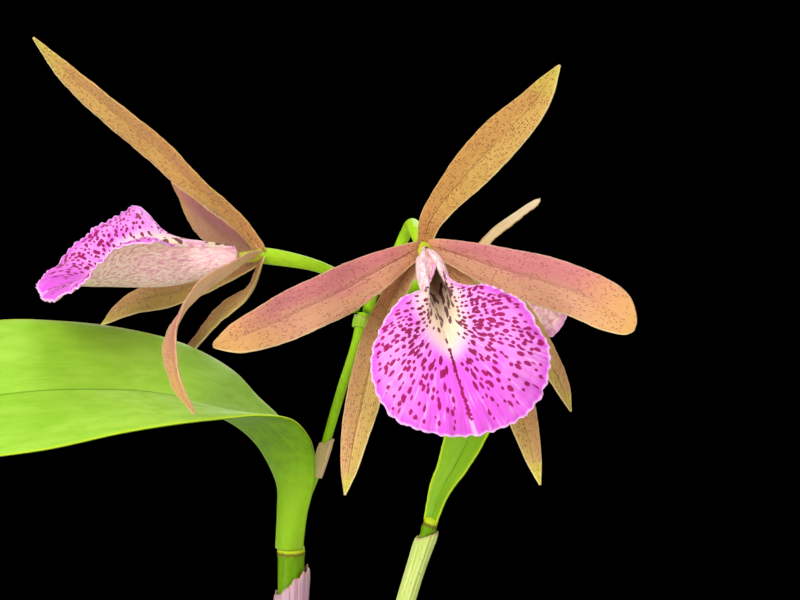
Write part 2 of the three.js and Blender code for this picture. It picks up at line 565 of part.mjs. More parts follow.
const FLOWERS = {
  front: {
    centre: [24.9, -8, 261.8],
    dorsal_sepal: {
      points: [[0.3, -0.7, 1.6], [1.4, -5, 6.6], [3.9, -9, 11.1], [9.8, -19, 19.4], [16.9, -30, 28.6],
        [24.1, -40, 37.3], [29.9, -49, 47]],
      halfWidth: 4.9,
      widths: SEPAL_WIDTHS,
      face: TO_VIEWER,
    },
    petal_left: {
      points: [[-2.3, -2.9, -0.6], [-6.4, -5, -2.5], [-13.7, -9, -6], [-20.7, -14, -9.3], [-26.9, -18, -11.6],
        [-35.8, -23, -15.3], [-42.2, -26, -17.5], [-48.9, -27, -19.6]],
      halfWidth: 5.7,
      widths: PETAL_WIDTHS,
      face: TO_VIEWER,
      wave: 0.5,
    },
    petal_right: {
      points: [[2.6, -2.7, 0.2], [6.4, -4.5, -0.6], [16.2, -9, -3.4], [27.7, -15, -6.1], [36.4, -19, -8.6],
        [43, -22, -11.7], [48.3, -25, -16.5]],
      halfWidth: 5.9,
      widths: BLUNT_WIDTHS,
      face: TO_VIEWER,
      wave: 0.4,
      tipLength: 0.14,
    },
    sepal_left: {
      points: [[-1.3, -0.6, -1.8], [-6.2, -3, -9.4], [-10, -6, -17.8], [-13, -10, -28.7], [-14.6, -13, -35.8],
        [-16.3, -16, -42.7], [-18.6, -20, -56]],
      halfWidth: 4.1,
      widths: SEPAL_WIDTHS,
      face: TO_VIEWER,
    },
    sepal_right: {
      points: [[1.5, -0.6, -1.5], [6.1, -3, -5.3], [12.5, -7, -12.9], [17.9, -10, -23.2], [21.6, -13, -33.4],
        [23.9, -16, -41.3], [27.1, -20, -53.6]],
      halfWidth: 4,
      widths: SEPAL_WIDTHS,
      face: TO_VIEWER,
    },
    lip: { normal: [0, -0.99, 0.14], right: [0.966, 0.036, 0.256] },
    stalk: [[-13.4, 12.4, -17], [-12.3, 17, -13.6], [-7.4, 22, -6.5], [-4.6, 22, -0.1], [-3, 17, 3.2],
      [-1.6, 9, 2.5], [0, 0.4, 0.1]],
  },
  left: {
    centre: [-13.9, 2, 258.6],
    dorsal_sepal: {
      points: [[-0.8, 0, 2.2], [-6.5, -1, 9.2], [-16.2, -3, 17.8], [-24.6, -5, 26.4], [-31.3, -7, 32.3],
        [-37.3, -8, 37.4], [-45.1, -9, 44.4], [-53.3, -10, 53]],
      halfWidth: 5.1,
      widths: SEPAL_WIDTHS,
      face: [-0.6, -0.62, -0.48],
    },
    petal_right: {
      points: [[-2.6, 3.1, 1.7], [-8.3, 16, 2.5], [-15.2, 31, 4.7], [-20.5, 44, 6.9], [-23, 53.5, 8.2]],
      halfWidth: 6.4,
      widths: BLUNT_WIDTHS,
      face: [-0.8, -0.3, -0.5],
    },
    petal_left: {
      points: [[-2.4, -2.5, 0], [-7, -12.2, -2], [-13, -22, -5.2], [-17.1, -31, -8.7], [-19.3, -38, -13.3],
        [-19.3, -42, -17.8], [-17.6, -44, -24.4], [-13.9, -44, -31.2]],
      halfWidth: 4.8,
      widths: PETAL_WIDTHS,
      face: [-0.7, 0, 0.7],
      tipFace: [-0.93, -0.36, 0],
    },
    sepal_left: {
      points: [[-0.4, -2, -1.7], [-3.2, 1.6, -9.2], [-10.3, 12, -16], [-16, 18, -22.9], [-20.8, 23, -29.6],
        [-24, 26, -36.6]],
      halfWidth: 4,
      widths: SEPAL_WIDTHS,
      face: [-0.75, -0.3, 0.6],
    },
    sepal_right: {
      points: [[-1.2, 1.9, -1.5], [-11.6, 11.4, -7], [-22.9, 20, -12], [-31.6, 28, -15.1], [-37.2, 32, -18.4],
        [-41.8, 36, -22.3]],
      halfWidth: 4,
      widths: SEPAL_WIDTHS,
      face: [-0.4, -0.75, 0.5],
    },
    lip: {
      normal: [-0.62, -0.15, 0.77],
      right: [0.2, -0.97, -0.13],
      rays: STEEP_LIP_RAYS,
      mouthForward: 22,
      mouthDrop: 28,
      tubeSag: 2,
      hump: 2.5,
    },
    stalk: [[22.2, -0.8, -13], [21.3, 1.6, -10.7], [18.7, 3, -6.1], [14.4, 2, -3.4],
      [8.6, 1, -1.6], [0.5, 0, -0.1]],
  },
  third: {
    centre: [38.2, 38, 252.2],
    dorsal_sepal: {
      points: [[0.4, 0.8, 2.1], [6, 20, 6], [11.7, 40, 7.6], [17.9, 59, 9.2]],
      halfWidth: 4.5,
      widths: SEPAL_WIDTHS,
      face: [0.45, 0.1, -0.85],
    },
    petal_right: {
      points: [[3.3, 1.5, 0], [11, 4.2, -1.8], [21, 8.4, -5.6], [28.8, 20.6, -10.3], [31.5, 38, -14]],
      halfWidth: 5.4,
      widths: PETAL_WIDTHS,
      face: [0.3, 0.9, 0.5],
    },
    petal_left: {
      points: [[-2.6, 3, 0.2], [-10, 13, -2.2], [-20.3, 27, -6.5], [-33.4, 39, -13.4]],
      halfWidth: 5.4,
      widths: PETAL_WIDTHS,
      face: [0.3, 0.9, 0.5],
    },
    sepal_right: {
      points: [[1.6, 0.4, -2], [8.6, 8, -10.2], [16.2, 14, -23.1], [21.7, 18, -32.8], [24.9, 20, -41.2]],
      halfWidth: 3.7,
      widths: SEPAL_WIDTHS,
      face: [0.5, -0.8, 0.2],
    },
    sepal_left: {
      points: [[-1.2, 0.9, -1.9], [0.6, 9, -16.1], [1.4, 15, -29.9], [1, 19, -43.5], [-1, 21, -54.3]],
      halfWidth: 4,
      widths: SEPAL_WIDTHS,
      face: [0.2, 0.9, 0.2],
    },
    lip: {
      normal: [0.27, 0.93, 0.24],
      right: [0.96, -0.28, 0],
      tipScale: 0.72,
      sideScale: 0.96,
      lift: 3.5,
    },
    stalk: [[-26.4, -31.4, -9.4], [-22.6, -26, -7], [-16.1, -19, -3.8], [-8.1, -10, -1.9],
      [-0.3, -0.4, -0.1]],
  },
};

function lipAxes(placing) {
  const forward = vec(placing.normal).normalize();
  const up = vec(placing.right).cross(forward).normalize().negate();
  if (up.z < 0) up.negate();
  return { forward, up, right: up.clone().cross(forward).normalize() };
}

function makeLip(placing) {
  const { forward, up, right } = lipAxes(placing);
  const { mouthForward = MOUTH_FORWARD, mouthDrop = MOUTH_DROP, tubeSag = 0 } = placing;
  const { rays = OPEN_LIP_RAYS, tipScale = 1, sideScale = 1, hump = BLADE_HUMP, lift = 0 } = placing;
  const place = ([x, y, n]) => {
    const raised = y + lift * THREE.MathUtils.smoothstep(n, 16, 24);
    return right.clone().multiplyScalar(x).addScaledVector(up, raised).addScaledVector(forward, n);
  };
  const tubeLength = Math.hypot(mouthDrop, mouthForward);
  const [axisUp, axisForward] = [-mouthDrop / tubeLength, mouthForward / tubeLength];
  const onTube = (distance, halfWidth, halfHeight, angle) => [
    halfWidth * Math.sin(angle),
    axisUp * distance - halfHeight * Math.cos(angle) * axisForward,
    axisForward * distance + halfHeight * Math.cos(angle) * axisUp,
  ];
  const curves = rays.map(([turn, mouth, edge]) => {
    const angle = degrees(turn);
    const openness = 0.5 + 0.5 * Math.cos(angle);
    const flare = THREE.MathUtils.smoothstep(vec(mouth).distanceTo(vec(edge)), 2, 8);
    const scale = lerp(1, lerp(sideScale, tipScale, openness ** 2), flare);
    const rim = [edge[0] * scale, (edge[1] + mouthDrop + MOUTH_SAG) * scale - mouthDrop - MOUTH_SAG, edge[2]];
    const ends = Math.min(axisUp * mouth[1] + axisForward * mouth[2], tubeLength);
    const distance = 0.5 * (LIP_FOOT_DISTANCE + ends);
    const grown = THREE.MathUtils.smoothstep(distance, LIP_FOOT_DISTANCE, 15);
    const halfWidth = lerp(LIP_FOOT_RADIUS, LIP_TUBE_HALF_WIDTH, grown);
    const halfHeight = lerp(LIP_FOOT_RADIUS, LIP_TUBE_HALF_HEIGHT, grown);
    const foot = onTube(LIP_FOOT_DISTANCE, LIP_FOOT_RADIUS, LIP_FOOT_RADIUS, angle);
    const tube = onTube(distance, halfWidth, halfHeight, angle);
    const width = Math.hypot(rim[0] - mouth[0], rim[1] - mouth[1], rim[2] - mouth[2]);
    const middle = mouth.map((value, axis) => 0.5 * (value + rim[axis]));
    middle[2] += hump * THREE.MathUtils.smoothstep(width, 4, 20);
    return new THREE.CatmullRomCurve3(
      [
        place(foot).addScaledVector(up, -0.25 * tubeSag),
        place(tube).addScaledVector(up, -tubeSag * Math.min(1, distance / 15)),
        place(mouth),
        place(middle),
        place(rim),
      ],
      false,
      "centripetal",
    );
  });
  const grid = LIP_ROW_PLACES.map((t) => curves.map((curve) => curve.getPoint(t)));
  return outward(sheet(grid, LIP_THICKNESS));
}

// Column: the flower's club-shaped middle, inside the lip's tube
function makeColumn(placing) {
  const { forward, up, right } = lipAxes(placing);
  const { mouthForward = MOUTH_FORWARD, mouthDrop = MOUTH_DROP, tubeSag = 0 } = placing;
  const tube = forward.clone().multiplyScalar(mouthForward).addScaledVector(up, -mouthDrop).normalize();
  const top = up.clone().addScaledVector(tube, -up.dot(tube)).normalize();
  const halfTube = 0.5 * Math.hypot(mouthForward, mouthDrop);
  const along = (distance, rise) => {
    const sag = (tubeSag * distance) / halfTube;
    return tube.clone().multiplyScalar(distance).addScaledVector(top, rise - sag).toArray();
  };
  const curve = smoothCurve(
    [along(1.8, 0.1), along(4.5, 0.2), along(8, 0.2), along(11, 0.1), along(13, -0.2)]);
  return rod(curve, (t) => profile([1.35, 1.4, 1.5, 1.65, 1.75, 1.6, 1], t), 8, 8, right);
}

// Stems: flower stem, and a stalk with its ovary behind each flower
const FLOWER_STEM = smoothCurve([
  [-6.6, 0.2, 188.1],
  [-4.4, 0.6, 197],
  [-0.8, 1, 206],
  [1.5, 1, 213.7],
  [5.2, 1, 226.4],
  [9.3, 2, 239.2],
  [10.3, 3.6, 244.15],
]);
const flowerStemRadius = (t) => STEM_RADIUS * profile([1, 0.85, 0.75, 0.9, 0.95, 1, 1.3], t);

function makeStalk(points) {
  const swelling = (t) => THREE.MathUtils.smoothstep(t, 0.45, 0.9);
  const radius = (t) => lerp(PEDICEL_RADIUS, OVARY_RADIUS, swelling(t)) * (t > 0.97 ? 0.8 : 1);
  return rod(smoothCurve(points), radius, 8, 16);
}

function shifted(geometry, offset) {
  return geometry.translate(offset[0], offset[1], offset[2]);
}

// Assembly
addPiece("pot", makePot(), TERRACOTTA);
addPiece("bark_medium", makeBark(), BARK);
addPiece("rhizome_with_roots", geometryOf(makeRhizome(0)), ROOT);
addPiece("left_cane", rod(LEFT_CANE, leftCaneRadius, 14, 14), CANE);
addPiece("left_cane_sheath", caneSheath(LEFT_CANE, leftCaneRadius, 0.03, 0.95, 7, Math.PI), DRY_SHEATH);
addPiece("left_leaf", makeLeftLeaf(26, 4), LEAF);
addPiece("second_cane", rod(SECOND_CANE, secondCaneRadius, 12, 14), CANE);
addPiece("second_cane_sheath", caneSheath(SECOND_CANE, secondCaneRadius, 0.03, 0.975, 3, 0), GREEN_SHEATH);
addPiece("second_leaf", blade(SECOND_LEAF), LEAF);
addPiece("old_cane", rod(OLD_CANE, oldCaneRadius, 12, 8), CANE);
addPiece("old_cane_sheath", caneSheath(OLD_CANE, oldCaneRadius, 0.05, 0.8, 4, 1), DRY_SHEATH);
addPiece("flower_stem", rod(FLOWER_STEM, flowerStemRadius, 10, 20), STEM);
addPiece("flower_stem_spathe", caneSheath(FLOWER_STEM, flowerStemRadius, 0.26, 0.48, 2, 0, 10, 6), SPATHE);
addPiece("flower_stem_bract",
  caneSheath(FLOWER_STEM, flowerStemRadius, 0.94, 0.99, 1, Math.PI, 8, 2), SPATHE);

for (const [name, flower] of Object.entries(FLOWERS)) {
  for (const [part, look] of [
    ["dorsal_sepal", SEPAL],
    ["petal_left", PETAL],
    ["petal_right", PETAL],
    ["sepal_left", SEPAL],
    ["sepal_right", SEPAL],
  ]) {
    addPiece(`${name}_${part}`, shifted(blade(flower[part]), flower.centre), look);
  }
  addPiece(`${name}_lip`, shifted(makeLip(flower.lip), flower.centre), LIP);
  addPiece(`${name}_column`, shifted(makeColumn(flower.lip), flower.centre), COLUMN);
  addPiece(`${name}_stalk`, shifted(makeStalk(flower.stalk), flower.centre), STEM);
}

export default plant;
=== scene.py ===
"""Potted brassocattleya orchid: flowers, leaves, canes, bark and pot, dressed round the CAD frame.

Lengths in the tables are millimetres in the frame of the part: +Z up, the viewer at -Y, +X to the right.
"""

import math
import random

import bpy
import numpy as np
from mathutils import Euler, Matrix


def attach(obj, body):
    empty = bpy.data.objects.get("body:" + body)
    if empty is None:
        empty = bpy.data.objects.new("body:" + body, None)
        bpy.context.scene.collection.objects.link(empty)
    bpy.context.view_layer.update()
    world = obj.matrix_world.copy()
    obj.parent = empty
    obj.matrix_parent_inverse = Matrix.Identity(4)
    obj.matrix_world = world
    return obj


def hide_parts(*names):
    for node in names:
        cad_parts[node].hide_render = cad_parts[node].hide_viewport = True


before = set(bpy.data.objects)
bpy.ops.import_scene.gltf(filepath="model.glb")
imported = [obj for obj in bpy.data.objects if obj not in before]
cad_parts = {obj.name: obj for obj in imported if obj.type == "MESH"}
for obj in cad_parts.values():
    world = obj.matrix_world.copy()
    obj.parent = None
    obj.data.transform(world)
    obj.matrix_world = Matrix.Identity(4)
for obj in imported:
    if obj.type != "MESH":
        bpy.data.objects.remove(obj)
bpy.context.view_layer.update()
MM = 0.001
# The gap that the CAD leaves between neighbouring solids
SOLID_GAP = 0.3


# Camera: the photograph's viewing angle
CAMERA_TARGET = np.array([19.2, 0.0, 248.0])
CAMERA_DISTANCE = 900.0
CAMERA_ELEVATION = math.radians(8.0)
CAMERA_LENS = 168.75
CAMERA_SENSOR = 36.0


def make_camera():
    data = bpy.data.cameras.new("camera")
    data.lens = CAMERA_LENS
    data.sensor_width = CAMERA_SENSOR
    camera = bpy.data.objects.new("camera", data)
    bpy.context.collection.objects.link(camera)
    back = np.array([0.0, -math.cos(CAMERA_ELEVATION), math.sin(CAMERA_ELEVATION)])
    camera.location = (CAMERA_TARGET + back * CAMERA_DISTANCE) * MM
    camera.rotation_euler = (math.pi / 2 - CAMERA_ELEVATION, 0.0, 0.0)
    bpy.context.scene.camera = camera


# Curves
CURVE_SAMPLES = 600


def spline(points, u):
    """Points at u (0 to 1) on a centripetal Catmull-Rom curve through the given points."""
    p = np.asarray(points, float)
    count = len(p)
    padded = np.vstack([2 * p[0] - p[1], p, 2 * p[-1] - p[-2]])
    x = np.clip(np.asarray(u, float), 0, 1) * (count - 1)
    i = np.minimum(x.astype(int), count - 2)
    w = (x - i)[:, None]
    p0, p1, p2, p3 = (padded[i + k] for k in range(4))
    d0, d1, d2 = (
        np.sqrt(np.maximum(np.linalg.norm(b - a, axis=1), 1e-9))[:, None]
        for a, b in ((p0, p1), (p1, p2), (p2, p3))
    )
    t1 = ((p1 - p0) / d0 - (p2 - p0) / (d0 + d1) + (p2 - p1) / d1) * d1
    t2 = ((p2 - p1) / d1 - (p3 - p1) / (d1 + d2) + (p3 - p2) / d2) * d1
    c2 = 3 * (p2 - p1) - 2 * t1 - t2
    c3 = 2 * (p1 - p2) + t1 + t2
    return p1 + t1 * w + c2 * w**2 + c3 * w**3


def even_curve(points, count):
    """Evenly spaced points on the spline, their unit tangents and the curve's length."""
    dense = spline(points, np.linspace(0, 1, CURVE_SAMPLES))
    steps = np.linalg.norm(np.diff(dense, axis=0), axis=1)
    reached = np.concatenate([[0], np.cumsum(steps)])
    wanted = np.linspace(0, reached[-1], count)
    line = np.stack([np.interp(wanted, reached, dense[:, k]) for k in range(3)], axis=1)
    tangent = np.gradient(line, axis=0)
    return line, unit(tangent), reached[-1]


def unit(v):
    v = np.asarray(v, float)
    return v / np.maximum(np.linalg.norm(v, axis=-1, keepdims=True), 1e-12)


def profile(values, t):
    """Smooth values at t (0 to 1) through evenly spaced values."""
    values = np.asarray(values, float)
    last = len(values) - 1
    x = np.clip(t, 0, 1) * last
    i = np.minimum(np.floor(x).astype(int), last - 1)
    f = x - i
    a = values[np.maximum(i - 1, 0)]
    b = values[i]
    c = values[i + 1]
    d = values[np.minimum(i + 2, last)]
    return b + 0.5 * f * (c - a + f * (2 * a - 5 * b + 4 * c - d + f * (3 * (b - c) + d - a)))


def smoothstep(x, low, high):
    s = np.clip((x - low) / (high - low), 0, 1)
    return s * s * (3 - 2 * s)


def ripple(x, seed):
    """A smooth wandering value about -1 to 1 along x, the same for the same seed."""
    source = random.Random(seed)
    waves = (np.sin(x * (1 + 0.83 * k) * 1.9**k + source.uniform(0, 6.28)) / 1.7**k for k in range(3))
    return sum(waves) / 1.8


# Meshes
def add_object(name, points, faces, look, values=None, smooth=True):
    """A mesh object from points in millimetres, with its material and its value layers."""
    mesh = bpy.data.meshes.new(name)
    mesh.from_pydata((np.asarray(points) * MM).tolist(), [], [list(map(int, f)) for f in faces])
    for key, data in (values or {}).items():
        layer = mesh.attributes.new(key, "FLOAT_VECTOR", "POINT")
        layer.data.foreach_set("vector", np.asarray(data, np.float32).ravel())
    mesh.polygons.foreach_set("use_smooth", [smooth] * len(mesh.polygons))
    mesh.materials.append(look)
    mesh.update()
    obj = bpy.data.objects.new(name, mesh)
    bpy.context.collection.objects.link(obj)
    return obj


def place(obj, slot, *nodes):
    """A finished piece: it rides on the one body and stands for CAD nodes, which are hidden. Its slot is not
    used.
    """
    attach(obj, "root")
    if nodes:
        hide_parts(*nodes)


def grid_faces(rows, columns, closed=False, start=0):
    """Quads over a grid of points, facing along (across x along)."""
    r, c = np.meshgrid(np.arange(rows - 1), np.arange(columns if closed else columns - 1), indexing="ij")
    nxt = (c + 1) % columns
    low = r * columns
    high = low + columns
    quads = np.stack([low + c, low + nxt, high + nxt, high + c], -1)
    return quads.reshape(-1, 4) + start


def sheet(grid, thickness, closed=False):
    """Points and faces of a closed sheet of the given thickness round a grid of points."""
    rows, columns = grid.shape[:2]
    if closed:
        across = np.roll(grid, -1, 1) - np.roll(grid, 1, 1)
    else:
        across = np.gradient(grid, axis=1)
    normal = unit(np.cross(across, np.gradient(grid, axis=0)))
    half = 0.5 * np.broadcast_to(thickness, (rows, columns))[..., None]
    points = np.concatenate([(grid + normal * half).reshape(-1, 3), (grid - normal * half).reshape(-1, 3)])
    size = rows * columns
    front = grid_faces(rows, columns, closed)
    faces = [front, front[:, ::-1] + size]
    index = np.arange(size).reshape(rows, columns)
    if closed:
        borders = [index[0], index[-1, ::-1]]
    else:
        borders = [np.concatenate([index[0], index[1:, -1], index[-1, -2::-1], index[-2:0:-1, 0]])]
    for border in borders:
        after = np.roll(border, -1)
        faces.append(np.stack([after, border, border + size, after + size], -1))
    return points, np.concatenate(faces)


def sheet_values(shape, first, second, third, fourth=0.0, fifth=0.0):
    """The value layers of a sheet: its own three numbers, then its side (+1 front, -1 back) and two more.

    Blades and leaves keep mm across, mm along and mm to the edge, then -1 to 1 across and 0 to 1 along.
    Lips keep the ray, mm past the mouth and mm to the edge, then the fields of the spots and the streaks.
    """
    size = shape[0] * shape[1]
    flat = [np.tile(np.broadcast_to(v, shape).ravel(), 2) for v in (first, second, third, fourth, fifth)]
    side = np.concatenate([np.ones(size), -np.ones(size)])
    return {"own": np.stack(flat[:3], -1), "side": np.stack([side, *flat[3:]], -1)}


def ring_frames(tangent, reference):
    """Two unit vectors square to each tangent."""
    side = unit(np.cross(tangent, np.asarray(reference, float)))
    up = unit(np.cross(side, tangent))
    return side, up


def circle(sides):
    """Evenly spaced angles once round."""
    return np.linspace(0, 2 * math.pi, sides, endpoint=False)


def level_ring(radius, z, sides):
    """Points of a level circle round the pot's axis."""
    angle = circle(sides)
    return np.stack([radius * np.cos(angle), radius * np.sin(angle), np.full(sides, float(z))], -1)


def capped(rings, foot, head):
    """Points and faces of stacked rings with a fan to a point at each end. These two points come first."""
    rows, sides = np.shape(rings)[:2]
    points = np.concatenate([[foot, head], np.reshape(rings, (-1, 3))])
    faces = grid_faces(rows, sides, True, 2).tolist()
    last = 2 + (rows - 1) * sides
    for k in range(sides):
        n = (k + 1) % sides
        faces.append([0, 2 + n, 2 + k])
        faces.append([1, last + k, last + n])
    return points, faces


END_CONE = 0.25


def rod(name, points, radius, look, sides, count, reference=(0.2, 1, 0.1)):
    """A rod along a curve. radius(t, angle) gives its radius; its ends are closed by low cones."""
    line, tangent, length = even_curve(points, count)
    side, up = ring_frames(tangent, reference)
    t = np.linspace(0, 1, count)[:, None]
    angle = circle(sides)[None, :]
    reach = np.broadcast_to(radius(t, angle), (count, sides))
    ring = np.cos(angle)[..., None] * side[:, None] + np.sin(angle)[..., None] * up[:, None]
    foot = line[0] - tangent[0] * END_CONE * reach[0].mean()
    head = line[-1] + tangent[-1] * END_CONE * reach[-1].mean()
    points, faces = capped(line[:, None] + ring * reach[..., None], foot, head)
    own = np.stack(np.broadcast_arrays(angle * reach, t * length, t), -1).reshape(-1, 3)
    own = np.concatenate([[[0, 0, 0], [0, length, 1]], own])
    return add_object(name, points, faces, look, {"own": own})


# Shader building
SUBSURFACE_DEPTH = 0.0015
SIDE_BLEND = 0.1


class Shade:
    """Builds one material from short calls. A value may be a number, a colour or a socket."""

    def __init__(self, name, roughness, specular, subsurface=0.0, sheen=0.0):
        self.material = bpy.data.materials.new(name)
        self.material.use_nodes = True
        self.nodes = self.material.node_tree.nodes
        self.links = self.material.node_tree.links
        self.shader = self.nodes["Principled BSDF"]
        self.shader.inputs["Roughness"].default_value = roughness
        self.shader.inputs["Specular IOR Level"].default_value = specular
        self.shader.inputs["Subsurface Weight"].default_value = subsurface
        self.shader.inputs["Subsurface Scale"].default_value = SUBSURFACE_DEPTH
        self.shader.inputs["Sheen Weight"].default_value = sheen

    def put(self, node, index, value):
        socket = node.inputs[index]
        if isinstance(value, bpy.types.NodeSocket):
            self.links.new(value, socket)
        elif socket.type == "RGBA":
            socket.default_value = (*value, 1.0)
        else:
            socket.default_value = value

    def node(self, kind, *values):
        """A new node of one kind, with the values of its first inputs."""
        node = self.nodes.new("ShaderNode" + kind)
        for index, value in enumerate(values):
            self.put(node, index, value)
        return node

    def split(self, vector):
        return self.node("SeparateXYZ", vector).outputs

    def attribute(self, name):
        node = self.node("Attribute")
        node.attribute_name = name
        return self.split(node.outputs["Vector"])

    def surface(self):
        """Reads the piece's own numbers: two places on its surface, kept for grain, and a third, returned."""
        self.across, self.along, third = self.attribute("own")
        return third

    def position(self):
        """The place in the part's frame, in millimetres."""
        node = self.node("VectorMath", self.node("TexCoord").outputs["Object"])
        node.operation = "SCALE"
        node.inputs["Scale"].default_value = 1 / MM
        return node.outputs[0]

    def join(self, x, y, z=0.0):
        return self.node("CombineXYZ", x, y, z).outputs[0]

    def math(self, operation, *values):
        node = self.node("Math", *values)
        node.operation = operation
        return node.outputs[0]

    def times(self, a, b):
        return self.math("MULTIPLY", a, b)

    def plus(self, a, b):
        return self.math("ADD", a, b)

    def swing(self, value, amount):
        """The value's distance from one half, times the amount."""
        return self.times(self.math("SUBTRACT", value, 0.5), amount)

    def smooth(self, value, low, high, out_low=0.0, out_high=1.0):
        node = self.node("MapRange", value, low, high, out_low, out_high)
        node.interpolation_type = "SMOOTHSTEP"
        return node.outputs[0]

    def near(self, value, centre, half_width, soft):
        """1 within half_width of centre, falling to 0 over soft."""
        gap = self.math("ABSOLUTE", self.math("SUBTRACT", value, centre))
        return self.smooth(gap, half_width, half_width + soft, 1.0, 0.0)

    def mix(self, share, first, second):
        node = self.node("Mix", share)
        node.data_type = "RGBA"
        self.put(node, 6, first)
        self.put(node, 7, second)
        return node.outputs[2]

    def tint(self, tone, colour, value, low, high, most=1.0):
        """The tone with a colour laid over it, from none at low to the share most at high."""
        return self.mix(self.smooth(value, low, high, 0.0, most), tone, colour)

    def two_sided(self, side, front, rear):
        return self.tint(rear, front, side, -SIDE_BLEND, SIDE_BLEND)

    def noise(self, vector, scale, detail=3.0, rough=0.55):
        node = self.node("TexNoise", vector)
        node.inputs["Scale"].default_value = scale
        node.inputs["Detail"].default_value = detail
        node.inputs["Roughness"].default_value = rough
        return node.outputs["Fac"]

    def grain(self, across, along, layer, detail=3.0, rough=0.55):
        """Noise on the surface, scaled across and along. Each layer number gives another pattern."""
        spot = self.join(self.times(self.across, across), self.times(self.along, along), layer)
        return self.noise(spot, 1.0, detail, rough)

    def cells(self, vector, randomness):
        """Distance to the nearest cell point, and a random value of its cell."""
        node = self.node("TexVoronoi", vector)
        node.inputs["Scale"].default_value = 1.0
        node.inputs["Randomness"].default_value = randomness
        return node.outputs["Distance"], self.node("SeparateColor", node.outputs["Color"]).outputs[0]

    def done(self, tone, height, strength, depth):
        """The material with its colour and a bump of some strength and depth (in metres)."""
        self.put(self.shader, "Base Color", tone)
        bump = self.node("Bump", strength, depth)
        self.put(bump, "Height", height)
        self.put(self.shader, "Normal", bump.outputs[0])
        return self.material


def srgb(red, green, blue):
    """Linear colour from 0-255 display values."""
    return tuple(((c / 255 + 0.055) / 1.055) ** 2.4 if c > 10 else c / 3294.6 for c in (red, green, blue))


def scaled(colour, factor):
    return tuple(min(1.0, factor * c) for c in colour)


# Materials of the flowers
PALE_EDGE = srgb(226, 212, 150)


def tepal_look(name, upper, lower, foot, tip, dots, back, dot_amount, foot_until, tip_from):
    """A sepal or petal: two tones on its upper and lower halves, partly its own colours and partly painted
    light and shade, with fibres, rows of small dark specks, a midrib and a pale edge.
    """
    s = Shade(name, roughness=0.5, subsurface=0.05, specular=0.2, sheen=0.05)
    edge = s.surface()
    side, up, t = s.attribute("side")
    cloud = s.grain(0.16, 0.07, 3.0, 4.0)
    fibre = s.grain(2.6, 0.09, 0.0, 3.0, 0.65)
    grain = s.grain(1.5, 0.7, 6.0, 3.0, 0.6)
    # Painted light and shade in part: the half facing up takes the upper tone, the half facing down the lower
    # tone.
    tone = s.tint(lower, upper, s.plus(up, s.swing(cloud, 1.6)), -0.5, 0.5)
    tone = s.tint(tone, foot, t, foot_until, 0.0, 0.8)
    tone = s.tint(tone, scaled(upper, 0.6), fibre, 0.4, 0.72, 0.3)
    tone = s.tint(tone, scaled(lower, 1.35), grain, 0.5, 0.78, 0.22)
    tone = s.tint(tone, tip, s.plus(t, s.times(cloud, 0.3)), tip_from, 1.15, 0.95)
    lane = s.plus(s.times(s.across, 2.4), s.times(s.grain(0.3, 0.12, 1.0, 2.0), 3.0))
    vein = s.near(s.math("FRACT", lane), 0.5, 0.06, 0.2)
    speck, chance = s.cells(s.join(lane, s.times(s.along, 1.35)), 0.75)
    many = s.smooth(s.grain(0.25, 0.1, 8.0, 2.0), 0.3, 0.7, 0.25, -0.2)
    few = 0.76 - 0.66 * dot_amount
    spot = s.times(s.smooth(speck, 0.5, 0.28), s.smooth(s.plus(chance, many), few, few + 0.12))
    tone = s.mix(s.times(vein, 0.3 * dot_amount), tone, dots)
    tone = s.mix(s.times(spot, 0.4 + 0.4 * dot_amount), tone, dots)
    rib = s.near(s.across, 0.0, 0.1, 0.22)
    tone = s.mix(s.times(rib, s.smooth(t, 0.5, 0.95, 0.5, 0.1)), tone, scaled(lower, 0.45))
    pale = s.times(s.smooth(edge, 0.4, 0.1), s.smooth(up, -0.4, 0.8, 0.6, 0.15))
    tone = s.mix(pale, tone, PALE_EDGE)
    rear = s.mix(s.times(vein, 0.35), back, scaled(back, 0.75))
    rear = s.tint(rear, upper, cloud, 0.35, 0.75, 0.5)
    relief = s.plus(s.times(vein, 0.4), s.times(fibre, 0.6))
    return s.done(s.two_sided(side, tone, rear), relief, strength=0.35, depth=0.00022)


# The rays of a lip are numbered from 0 to LAST_RAY, and TIP_RAY runs down its middle.
LAST_RAY = 28
TIP_RAY = 14


